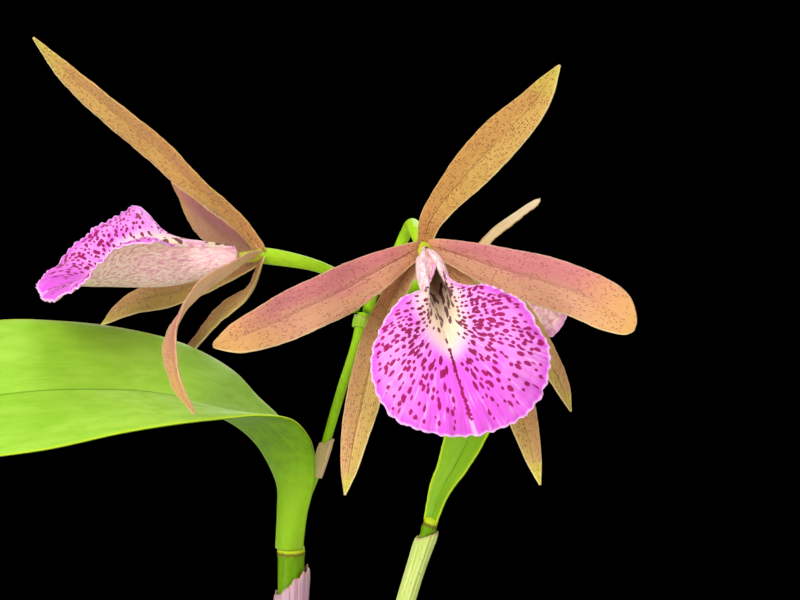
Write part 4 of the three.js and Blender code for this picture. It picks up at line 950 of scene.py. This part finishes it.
def make_lip(flower, spec, columns, tube_rows, blade_rows, crimp):
    """A lip as one sheet, with the marks' places kept in its value layers."""
    steps = np.concatenate([np.linspace(0, 0.5, tube_rows, endpoint=False), np.linspace(0.5, 1, blade_rows)])
    k = np.linspace(LAST_RAY, 0, columns)
    grid = lip_grid(spec, k, steps)
    lengths = np.linalg.norm(np.diff(grid, axis=0), axis=2)
    gone = np.concatenate([np.zeros((1, columns)), np.cumsum(lengths, 0)])
    reach = gone - gone[tube_rows]
    edge = gone[-1] - gone
    seed = sum(map(ord, flower))
    source = random.Random(seed)
    spots = mark_field(grid, k, reach, edge, blob_rows(source), SPOT_RIM_GAP)
    streaks = mark_field(grid, k, reach, edge, streak_rows(source), STREAK_RIM_GAP)
    grid = crimped(grid, k, reach, edge, seed, crimp)
    thick = LIP_THICKNESS * (THIN_EDGE + (1 - THIN_EDGE) * smoothstep(edge, 0.0, 2.5))
    world = grid @ lip_axes(spec) + np.asarray(FLOWERS[flower]["centre"], float)
    points, faces = sheet(world, thick)
    values = sheet_values(grid.shape[:2], k[None], reach, edge, spots, streaks)
    place(add_object(f"{flower}_lip_sheet", points, faces, LIP_LOOK, values), "lip", f"{flower}_lip")


def crimped(grid, k, reach, edge, seed, crimp):
    """The lip's surface with waves, a crease down its middle and a scalloped, crimped rim."""
    grid = grid.copy()
    share = smoothstep(reach / np.maximum(reach[-1], 1e-6), 0.35, 1.0) * smoothstep(reach[-1], 3.0, 9.0)
    grid[..., 2] += share**2 * (0.75 * ripple(k * 1.5, seed) + 0.3 * ripple(k * 5.2, seed + 1))
    grid[..., 2] += share * 0.4 * ripple(k * 3.1, seed + 2)
    grid[..., 2] -= 0.8 * np.exp(-((k - TIP_RAY) ** 2) / 0.3) * smoothstep(reach, 1.0, 9.0)
    at_rim = crimp * smoothstep(edge, 1.6, 0.0)
    scallop = 0.24 * np.sin(k * 13.0 + 2 * ripple(k * 2, seed + 5)) + 0.18 * ripple(k * 9, seed + 6)
    grid += unit(np.gradient(grid, axis=0)) * (at_rim * scallop)[..., None]
    grid[..., 2] += 0.3 * at_rim * np.sin(k * 17.0 + 1.3)
    return grid


COLUMN_PLACES = [(0.6, 0.0), (4.5, 0.2), (8, 0.2), (11, 0.1), (13, -0.2)]
COLUMN_RADII = [1.75, 1.55, 1.5, 1.65, 1.75, 1.6, 1.0]


def make_column(flower, spec):
    """The club-shaped column inside the lip's tube. Its places are (distance along the tube, rise)."""
    right, up, forward = lip_axes(spec)
    ahead = spec.get("mouth_forward", MOUTH_FORWARD)
    drop = spec.get("mouth_drop", MOUTH_DROP)
    tube = unit(forward * ahead - up * drop)
    top = unit(up - tube * np.dot(up, tube))
    sag = spec.get("tube_sag", 0.0) / (0.5 * math.hypot(ahead, drop))
    points = [tube * distance + top * (rise - sag * distance) for distance, rise in COLUMN_PLACES]

    def radius(t, angle):
        return profile(COLUMN_RADII, t) * (1 - 0.12 * np.cos(2 * angle)) * (1 - 0.1 * np.cos(angle * 3) * t)

    points = np.asarray(points) + FLOWERS[flower]["centre"]
    obj = rod(f"{flower}_column_club", points, radius, COLUMN_LOOK, sides=28, count=60, reference=right)
    place(obj, "column", f"{flower}_column")


PEDICEL_RADIUS = 1.4
OVARY_SWELLING = 0.7


def make_stalk(flower, points):
    """A stalk: a thin pedicel that swells into a ribbed ovary and ends inside the flower."""

    def radius(t, angle):
        swelling = smoothstep(t, 0.45, 0.9)
        ribs = 1 - 0.05 * swelling * (1 + np.cos(6 * angle + 2 * t))
        neck = 1 - 0.18 * smoothstep(t, 0.95, 1.0)
        return (PEDICEL_RADIUS + OVARY_SWELLING * swelling) * ribs * neck

    points = np.vstack([points, unit(np.subtract(points[-1], points[-2]))]) + FLOWERS[flower]["centre"]
    obj = rod(f"{flower}_stalk_rod", points, radius, STALK_LOOK, sides=30, count=110)
    place(obj, "stem", f"{flower}_stalk")


TEPAL_LOOKS = {
    "dorsal_sepal": (DORSAL_LOOK, "sepal"),
    "sepal_left": (SEPAL_LOOK, "sepal"),
    "sepal_right": (SEPAL_LOOK, "sepal"),
    "petal_left": (PETAL_LOOK, "petal"),
    "petal_right": (PETAL_LOOK, "petal"),
}
FRONT_LIP_MESH = {"columns": 400, "tube_rows": 26, "blade_rows": 90, "crimp": 1.0}
OTHER_LIP_MESH = {"columns": 280, "tube_rows": 28, "blade_rows": 60, "crimp": 0.35}


def make_flowers():
    for flower, parts in FLOWERS.items():
        for part, (look, slot) in TEPAL_LOOKS.items():
            blade(f"{flower}_{part}", look, slot, parts[part], parts["centre"])
        mesh = FRONT_LIP_MESH if flower == "front" else OTHER_LIP_MESH
        make_lip(flower, parts["lip"], **mesh)
        make_column(flower, parts["lip"])
        make_stalk(flower, parts["stalk"])


# Leaves
LEFT_LEAF_SECTIONS = [
    [[-4.4, -1.9, 187.4], [-10.3, 0, 187.4], [-4.4, 2.2, 187.4]],
    [[-3.1, -6, 196.9], [-9.8, -1, 196.9], [-4.2, 6, 196.4]],
    [[-1.4, -10, 204.5], [-9.8, -2, 203], [-3.7, 9, 203]],
    [[-1, -13, 211.4], [-11.6, -3, 208.3], [-4.7, 11, 208.9]],
    [[-2.3, -17, 217.4], [-14.9, -5, 214.3], [-7.2, 12, 213.5]],
    [[-6.2, -20.5, 222.3], [-19.3, -7, 218.8], [-10.9, 12.5, 217.9]],
    [[-13.2, -24, 224], [-24.5, -9, 222], [-15.5, 12, 222.4]],
    [[-21, -27, 223.9], [-30.8, -11, 224.8], [-21.3, 11.5, 228.7]],
    [[-32.9, -31, 223.2], [-39.6, -14, 227.2], [-31.9, 10, 235.1]],
    [[-45.3, -34, 221.6], [-49.8, -17, 228.4], [-44, 6.5, 239.3]],
    [[-61.7, -38, 218.6], [-64.9, -20, 228.7], [-61.4, 2, 242.4]],
    [[-77.8, -39, 216.4], [-79.5, -22, 227.1], [-79.1, -2, 243]],
    [[-93, -36, 213.3], [-93.4, -24, 223.7], [-94.2, -8, 239]],
    [[-105.4, -31, 209.5], [-105.2, -24, 217.2], [-106.4, -14, 230.8]],
    [[-113.3, -24.2, 208.6], [-113.3, -23, 209.9], [-113.4, -21.8, 211.2]],
]
LEFT_LEAF_BULGE = [2.3, 2, 1.4, 0.8, 0.2, -0.6, -1, -1.2, -1.2, -1, -0.2]
LEAF_THICKNESS = 1.5
LEAF_THINNING = 0.35
LEAF_RIM_SHARE = 0.45
LEAF_ROWS = 200
LEAF_HALF_COLUMNS = 26
LEAF_SHADE_LENGTH = 150.0


def make_left_leaf():
    """The long leaf: folded like a channel where it rises, opening as it arches to the left."""
    t = np.linspace(0, 1, LEAF_ROWS + 1)
    near, mid, far = (spline([section[k] for section in LEFT_LEAF_SECTIONS], t) for k in range(3))
    inside = 0.5 * (near + far) - mid
    bulge = profile(LEFT_LEAF_BULGE, t)[:, None]
    s = np.linspace(0, 1, LEAF_HALF_COLUMNS + 1)

    def half_rows(edge_line):
        chord = edge_line - mid
        share = np.sum(inside * chord, 1) / np.maximum(np.sum(chord * chord, 1), 1e-9)
        out = -unit(inside - chord * share[:, None])
        arch = 4 * s * (1 - s)
        return mid[:, None] + chord[:, None] * s[None, :, None] + out[:, None] * (arch * bulge)[..., None]

    grid = np.concatenate([half_rows(near)[:, ::-1], half_rows(far)[:, 1:]], 1)
    u = np.concatenate([-s[::-1], s[1:]])
    width = np.linalg.norm(near - far, axis=1)[:, None] * 0.5
    edge = width * (1 - np.abs(u))
    thick = LEAF_THICKNESS * (1 - LEAF_THINNING * np.abs(u))
    thick = thick * (LEAF_RIM_SHARE + (1 - LEAF_RIM_SHARE) * smoothstep(edge, 0.0, 1.5))
    points, faces = sheet(grid, thick)
    along = LEAF_SHADE_LENGTH * t[:, None]
    values = sheet_values(grid.shape[:2], width * u, along, edge, u[None], t[:, None])
    place(add_object("left_leaf_blade", points, faces, LEAF_LOOK, values), "leaf", "left_leaf")


SECOND_LEAF = {
    "points": [[26.9, 6, 192.6], [29.5, 7, 200.3], [33.2, 8, 206.8], [37, 10, 214.6], [39.9, 12, 222.9],
               [41.9, 13, 232.6], [43.1, 14, 242.3]],
    "half_width": 6.6,
    "widths": [0.3, 0.42, 0.58, 0.8, 0.95, 1, 0.92, 0.66, 0.2],
    "face": [-0.5, -0.8, 0.2],
    "cup": 0.45,
    "thickness": 1.2,
    "groove": 0.35,
}

# Canes, flower stem and their sheaths
CANE_FOOT_Z = 87.3
LEFT_CANE = [[-5.4, 0, CANE_FOOT_Z], [-6.7, 0, 124], [-7.3, 0, 155], [-7.2, 0, 187.7]]
SECOND_CANE = [[6.3, 6, CANE_FOOT_Z], [10.8, 6, 122.8], [16.3, 6, 155.6], [20.7, 6, 173.1], [24.1, 6, 184.3],
               [27, 6, 193.4]]
OLD_CANE = [[-22, -3, CANE_FOOT_Z], [-24, -3, 105], [-27.5, -4, 128], [-30, -4.5, 139]]
FLOWER_STEM = [[-6.6, 0.2, 188.1], [-4.4, 0.6, 197], [-0.8, 1, 206], [1.5, 1, 213.7], [5.2, 1, 226.4],
               [9.3, 2, 239.2], [10.3, 3.6, 244.15]]
LEFT_CANE_WIDTHS = [2.4, 3.1, 3.7, 3.8, 3.6, 3.35, 3.2, 3.2, 3.2]
SECOND_CANE_WIDTHS = [1.7, 1.9, 2.1, 2.0, 1.75, 1.5, 1.35, 1.35, 1.7]
OLD_CANE_WIDTHS = [2.2, 3.2, 3.7, 3.4, 2.6]
FLOWER_STEM_WIDTHS = [1.2, 1.02, 0.9, 1.08, 1.14, 1.2, 1.56]
CANE_RING_HEIGHT = 0.22
CANE_RING_WIDTH = 0.008
SHEATH_WALL = 0.7
SHEATH_REACH = SOLID_GAP + SHEATH_WALL / 2
SHEATH_SAMPLES = 400


def make_cane(name, node, curve, widths, look, slot, rings=()):
    """A stem along a curve, with a low swollen ring at each given place along it."""

    def radius(t, angle):
        wide = profile(widths, t)
        for spot in rings:
            wide = wide + CANE_RING_HEIGHT * np.exp(-(((t - spot) / CANE_RING_WIDTH) ** 2))
        return wide * (1 + 0.012 * np.cos(9 * angle))

    place(rod(name, curve, radius, look, sides=40, count=150), slot, node)


def make_sheath(name, node, stem, span, look, slot, dip, fray, dip_angle=0.0, mesh=(120, 90),
                loose=SHEATH_REACH):
    """A papery sleeve over a span of a stem (its curve and widths), with a slanting, frayed mouth.

    The mouth falls by dip mm towards dip_angle, mesh is (sides, rows) and loose is its gap in mm.
    """
    curve, widths = stem
    sides, rows = mesh
    line, tangent, length = even_curve(curve, SHEATH_SAMPLES)
    side, up = ring_frames(tangent, (0, 1, 0))
    angle = circle(sides)
    seed = sum(map(ord, name))
    s = np.linspace(0, 1, rows)[:, None]
    ragged = fray * (ripple(angle * 3, seed) * 0.6 + ripple(angle * 11, seed + 1) * 0.4) / length
    ragged = ragged * np.minimum(1, np.minimum(angle, 2 * math.pi - angle) * 4)
    low_side = 0.5 + 0.5 * np.cos(angle - dip_angle)
    t = np.clip(span[0] + (span[1] - span[0]) * s - (dip / length) * low_side * s + ragged * s**3, 0, 1)
    x = t * (SHEATH_SAMPLES - 1)
    low = np.minimum(x.astype(int), SHEATH_SAMPLES - 2)
    f = (x - low)[..., None]
    spot = line[low] * (1 - f) + line[low + 1] * f
    ring = side[low] * np.cos(angle)[None, :, None] + up[low] * np.sin(angle)[None, :, None]
    reach = profile(widths, t) + loose + 0.08 * np.cos(angle * 14) + 0.12 * ripple(angle * 2, seed + 2) * s
    reach = reach + 0.5 * fray * smoothstep(s, 0.9, 1.0) * (0.5 + 0.5 * np.cos(angle - dip_angle + 2.5))
    edge = (1 - s) * (span[1] - span[0]) * length
    thick = SHEATH_WALL * (THIN_EDGE + (1 - THIN_EDGE) * smoothstep(edge, 0.0, 2.0))
    points, faces = sheet(spot + ring * reach[..., None], thick, True)
    values = sheet_values(t.shape, angle * 3.5, t * length, edge)
    place(add_object(name, points, faces, look, values), slot, node)


def make_growths():
    left, second = (LEFT_CANE, LEFT_CANE_WIDTHS), (SECOND_CANE, SECOND_CANE_WIDTHS)
    old, stem = (OLD_CANE, OLD_CANE_WIDTHS), (FLOWER_STEM, FLOWER_STEM_WIDTHS)
    make_cane("left_cane_stem", "left_cane", *left, CANE_LOOK, "cane", (0.45, 0.985))
    make_cane("second_cane_stem", "second_cane", *second, CANE_LOOK, "cane", (0.5, 0.975))
    make_cane("old_cane_stem", "old_cane", *old, CANE_LOOK, "cane", (0.5,))
    make_cane("flower_stem_rod", "flower_stem", *stem, STEM_LOOK, "stem")
    make_sheath("left_sheath", "left_cane_sheath", left, (0.03, 0.95), DRY_LOOK, "dry_sheath",
                dip=7, fray=1.0)
    make_sheath("second_sheath", "second_cane_sheath", second, (0.03, 0.975), GREEN_SHEATH_LOOK,
                "green_sheath", dip=3, fray=0.4)
    make_sheath("old_sheath", "old_cane_sheath", old, (0.05, 0.8), DRY_LOOK, "dry_sheath",
                dip=4, fray=1.6, dip_angle=1)
    make_sheath("stem_spathe", "flower_stem_spathe", stem, (0.3, 0.47), SPATHE_LOOK, "spathe",
                dip=2, fray=0.5, mesh=(80, 40), loose=0.3)
    make_sheath("stem_bract", "flower_stem_bract", stem, (0.94, 0.99), BRACT_LOOK, "spathe",
                dip=1, fray=0.1, dip_angle=math.pi, mesh=(60, 16), loose=0.25)


# Rhizome and roots
RHIZOME_Z = 84.0
RHIZOME_RADIUS = 3.0
RHIZOME = [[-27, -4, RHIZOME_Z], [-16, -2, RHIZOME_Z], [-5.4, 0, RHIZOME_Z], [6.3, 6, RHIZOME_Z],
           [15, 11, RHIZOME_Z + 1.5]]
ROOT_RADIUS = 1.3
ROOT_SEED = 40
ROOT_ROUTES = [
    [[-14, -3, 84], [-17, -12, 85], [-26, -22, 84], [-33, -28, 78], [-35, -30, 70]],
    [[-6, -1, 84], [-4, -12, 85.5], [2, -24, 84.5], [4, -35, 79], [4, -38, 70]],
    [[2, 4, 84], [10, -4, 85], [21, -11, 84.5], [31, -20, 80], [35, -23, 70]],
    [[10, 9, 84.5], [22, 10, 85], [34, 8, 82], [41, 9, 74]],
    [[-2, 3, 84], [-5, 14, 85.5], [-10, 27, 84], [-12, 36, 78], [-12, 38, 70]],
    [[8, 8, 84], [9, 20, 85], [15, 31, 82], [17, 35, 73]],
    [[-22, -3, 84], [-31, 4, 85], [-39, 12, 82], [-42, 15, 73]],
]


def make_rhizome():
    """The creeping rootstock and its aerial roots, which dive into the bark."""

    def knuckles(t, angle):
        return RHIZOME_RADIUS * (0.94 + 0.08 * np.sin(t * 40)) * (1 + 0.03 * np.cos(5 * angle + 8 * t))

    body = rod("rhizome_body", RHIZOME, knuckles, ROOT_LOOK, sides=36, count=120, reference=(0, 0, 1))
    place(body, "root", "rhizome_with_roots")
    for number, route in enumerate(ROOT_ROUTES):

        def radius(t, angle, seed=ROOT_SEED + number):
            return ROOT_RADIUS * (1 - 0.25 * t) * (1 + 0.07 * ripple(t * 40, seed))

        root = rod(f"root_{number}", route, radius, ROOT_LOOK, sides=20, count=90, reference=(0, 0.01, 1))
        place(root, "root", "rhizome_with_roots")


# Pot
POT_HEIGHT = 95.0
POT_TOP_RADIUS = 56.0
POT_BASE_RADIUS = 40.0
POT_WALL = 4.0
POT_FLOOR = 6.0
RIM_HEIGHT = 16.0
RIM_OVERHANG = 2.5
RIM_SLOPE = 1.5
POT_BEND = 1.4
BEND_STEPS = 5
DRAIN_RADIUS = 4.5
DRAIN_CIRCLE = 24.0
DRAIN_COUNT = 4
FLOOR_RING = DRAIN_CIRCLE + 10
POT_SIDES = 160


def pot_radius(z):
    return POT_BASE_RADIUS + (POT_TOP_RADIUS - POT_BASE_RADIUS) * z / POT_HEIGHT


def rounded(outline):
    """The outline with each inner corner cut by a short smooth bend."""
    outline = [np.asarray(p, float) for p in outline]
    points = [outline[0]]
    for before, corner, after in zip(outline, outline[1:], outline[2:]):
        a = corner + unit(before - corner) * min(POT_BEND, 0.45 * np.linalg.norm(before - corner))
        b = corner + unit(after - corner) * min(POT_BEND, 0.45 * np.linalg.norm(after - corner))
        for w in np.linspace(0, 1, BEND_STEPS + 1):
            points.append((1 - w) ** 2 * a + 2 * w * (1 - w) * corner + w * w * b)
    points.append(outline[-1])
    return points


def make_pot():
    rim_foot = POT_HEIGHT - RIM_HEIGHT
    outline = rounded([
        (FLOOR_RING, 0),
        (POT_BASE_RADIUS, 0),
        (pot_radius(rim_foot), rim_foot),
        (pot_radius(rim_foot) + RIM_OVERHANG, rim_foot + RIM_SLOPE),
        (POT_TOP_RADIUS + RIM_OVERHANG, POT_HEIGHT),
        (POT_TOP_RADIUS - POT_WALL, POT_HEIGHT),
        (pot_radius(POT_FLOOR) - POT_WALL, POT_FLOOR),
        (FLOOR_RING, POT_FLOOR),
    ])
    rings = [level_ring(r, z, POT_SIDES) for r, z in outline]
    points, faces = capped(rings, (0, 0, 0), (0, 0, POT_FLOOR))
    pot = add_object("pot_body", points, faces, TERRACOTTA_LOOK)
    for k in range(DRAIN_COUNT):
        drill_hole(pot, (k + 0.5) * 2 * math.pi / DRAIN_COUNT)
    place(pot, "terracotta", "pot")


def drill_hole(pot, angle):
    """Cuts one drain hole through the pot's floor."""
    x, y = DRAIN_CIRCLE * math.cos(angle), DRAIN_CIRCLE * math.sin(angle)
    bpy.ops.mesh.primitive_cylinder_add(
        vertices=40,
        radius=DRAIN_RADIUS * MM,
        depth=3 * POT_FLOOR * MM,
        location=(x * MM, y * MM, 0.5 * POT_FLOOR * MM),
    )
    drill = bpy.context.object
    cut = pot.modifiers.new("drain", "BOOLEAN")
    cut.operation = "DIFFERENCE"
    cut.object = drill
    bpy.context.view_layer.objects.active = pot
    bpy.ops.object.modifier_apply(modifier=cut.name)
    bpy.data.objects.remove(drill)


# Bark: the filling's mound and the tumbled chips on it
BARK_TOP = 79.0
BARK_SIDES = 96
CHIP_COUNT = 420
CHIP_SIZES = [(7, 15), (4.5, 9), (2, 4)]
CHIP_GRID = (4, 3, 2)
CHIP_TILT = 0.45
GOLDEN_ANGLE = 2.39996


def chip_points(size, source):
    """A rough splinter of bark: a stretched block with chipped corners and bent faces."""
    base = np.array([[x, y, z] for x in (-1, -0.4, 0.4, 1) for y in (-1, 0, 1) for z in (-1, 1)], float)
    jitter = np.array([[source.uniform(-0.22, 0.22) for _ in range(3)] for _ in base])
    shaped = base.copy()
    shaped[:, 1:] *= 1 - 0.3 * base[:, :1] ** 2
    return (shaped + jitter) * size * 0.5


def chip_faces(start):
    """Quads over the six sides of a block of points."""
    block = start + np.arange(math.prod(CHIP_GRID)).reshape(CHIP_GRID)
    faces = []
    for axis in range(3):
        for end in (0, -1):
            side = np.take(block, end, axis)
            quads = np.stack([side[:-1, :-1], side[1:, :-1], side[1:, 1:], side[:-1, 1:]], -1).reshape(-1, 4)
            faces_out = (axis == 1) == (end == 0)
            faces += (quads if faces_out else quads[:, [0, 3, 2, 1]]).tolist()
    return faces


def turn(points, source):
    """Points turned by small tilts and any heading."""
    x = source.uniform(-CHIP_TILT, CHIP_TILT)
    y = source.uniform(-CHIP_TILT, CHIP_TILT)
    z = source.uniform(0, 2 * math.pi)
    return points @ np.array(Euler((x, y, z)).to_matrix()).T


def filling_radius(z):
    return pot_radius(z) - POT_WALL - SOLID_GAP


def make_bark():
    source = random.Random(7)
    foot = POT_FLOOR + SOLID_GAP
    top_reach = filling_radius(BARK_TOP)
    rings = [
        level_ring(filling_radius(POT_FLOOR), foot, BARK_SIDES),
        level_ring(top_reach, BARK_TOP - 1, BARK_SIDES),
    ]
    mound, faces = capped(rings, (0, 0, foot), (0, 0, BARK_TOP))
    points = mound.tolist()
    tones = [0.0] * len(points)
    for number in range(CHIP_COUNT):
        size = np.array([source.uniform(*span) for span in CHIP_SIZES])
        heading = number * GOLDEN_ANGLE
        reach = math.sqrt((number + 0.5) / CHIP_COUNT) * (top_reach - 0.62 * size[0])
        level = BARK_TOP + source.uniform(-0.5, 2.2)
        chip = turn(chip_points(size, source), source)
        chip += (reach * math.cos(heading), reach * math.sin(heading), level)
        faces += chip_faces(len(points))
        points += chip.tolist()
        tones += [source.random()] * len(chip)
    values = {"own": np.stack([tones, tones, tones], -1)}
    place(add_object("bark_chips", points, faces, BARK_LOOK, values, False), "bark", "bark_medium")


# Floor, lights and world
FLOOR_RADIUS = 600.0
FLOOR_LEVEL = -0.05
FLOOR_SIDES = 128
LIGHT_AIM = np.array([0.01, 0, 0.23])
# Each light: its place and width in metres, and its power in watts
LIGHTS = {
    "key": ((-0.7, -1.1, 1.15), 0.9, 20),
    "left": ((-1.0, -0.9, 0.14), 0.8, 12),
    "fill": ((0.9, -1.1, 0.35), 1.0, 11),
    "top": ((0.1, 0.1, 1.4), 0.9, 8),
    "back": ((0.3, 1.2, 0.8), 0.9, 9),
}


def make_stage():
    look = Shade("floor", roughness=0.8, specular=0.2)
    soft = look.noise(look.position(), 0.012, 2.0)
    look.put(look.shader, "Base Color", look.mix(soft, srgb(222, 222, 218), srgb(230, 230, 227)))
    rim = level_ring(FLOOR_RADIUS, FLOOR_LEVEL, FLOOR_SIDES)
    add_object("floor", rim, [list(range(FLOOR_SIDES))], look.material)


def add_light(name, location, size, power):
    """A square area light that faces the flowers."""
    data = bpy.data.lights.new(name, "AREA")
    data.size = size
    data.energy = power
    light = bpy.data.objects.new(name, data)
    bpy.context.collection.objects.link(light)
    light.location = location
    aim = LIGHT_AIM - np.asarray(location)
    flat = math.hypot(aim[0], aim[1])
    light.rotation_euler = (math.atan2(flat, -aim[2]), 0, math.atan2(aim[1], aim[0]) - math.pi / 2)


def make_lights():
    for name, settings in LIGHTS.items():
        add_light(name, *settings)
    world = bpy.data.worlds.new("world")
    bpy.context.scene.world = world
    world.use_nodes = True
    world.node_tree.nodes["Background"].inputs[0].default_value = (0, 0, 0, 1)
    bpy.context.scene.view_settings.view_transform = "Standard"


make_camera()
make_flowers()
make_left_leaf()
blade("second_leaf", SECOND_LEAF_LOOK, "leaf", SECOND_LEAF)
make_growths()
make_rhizome()
make_bark()
make_pot()
make_stage()
make_lights()
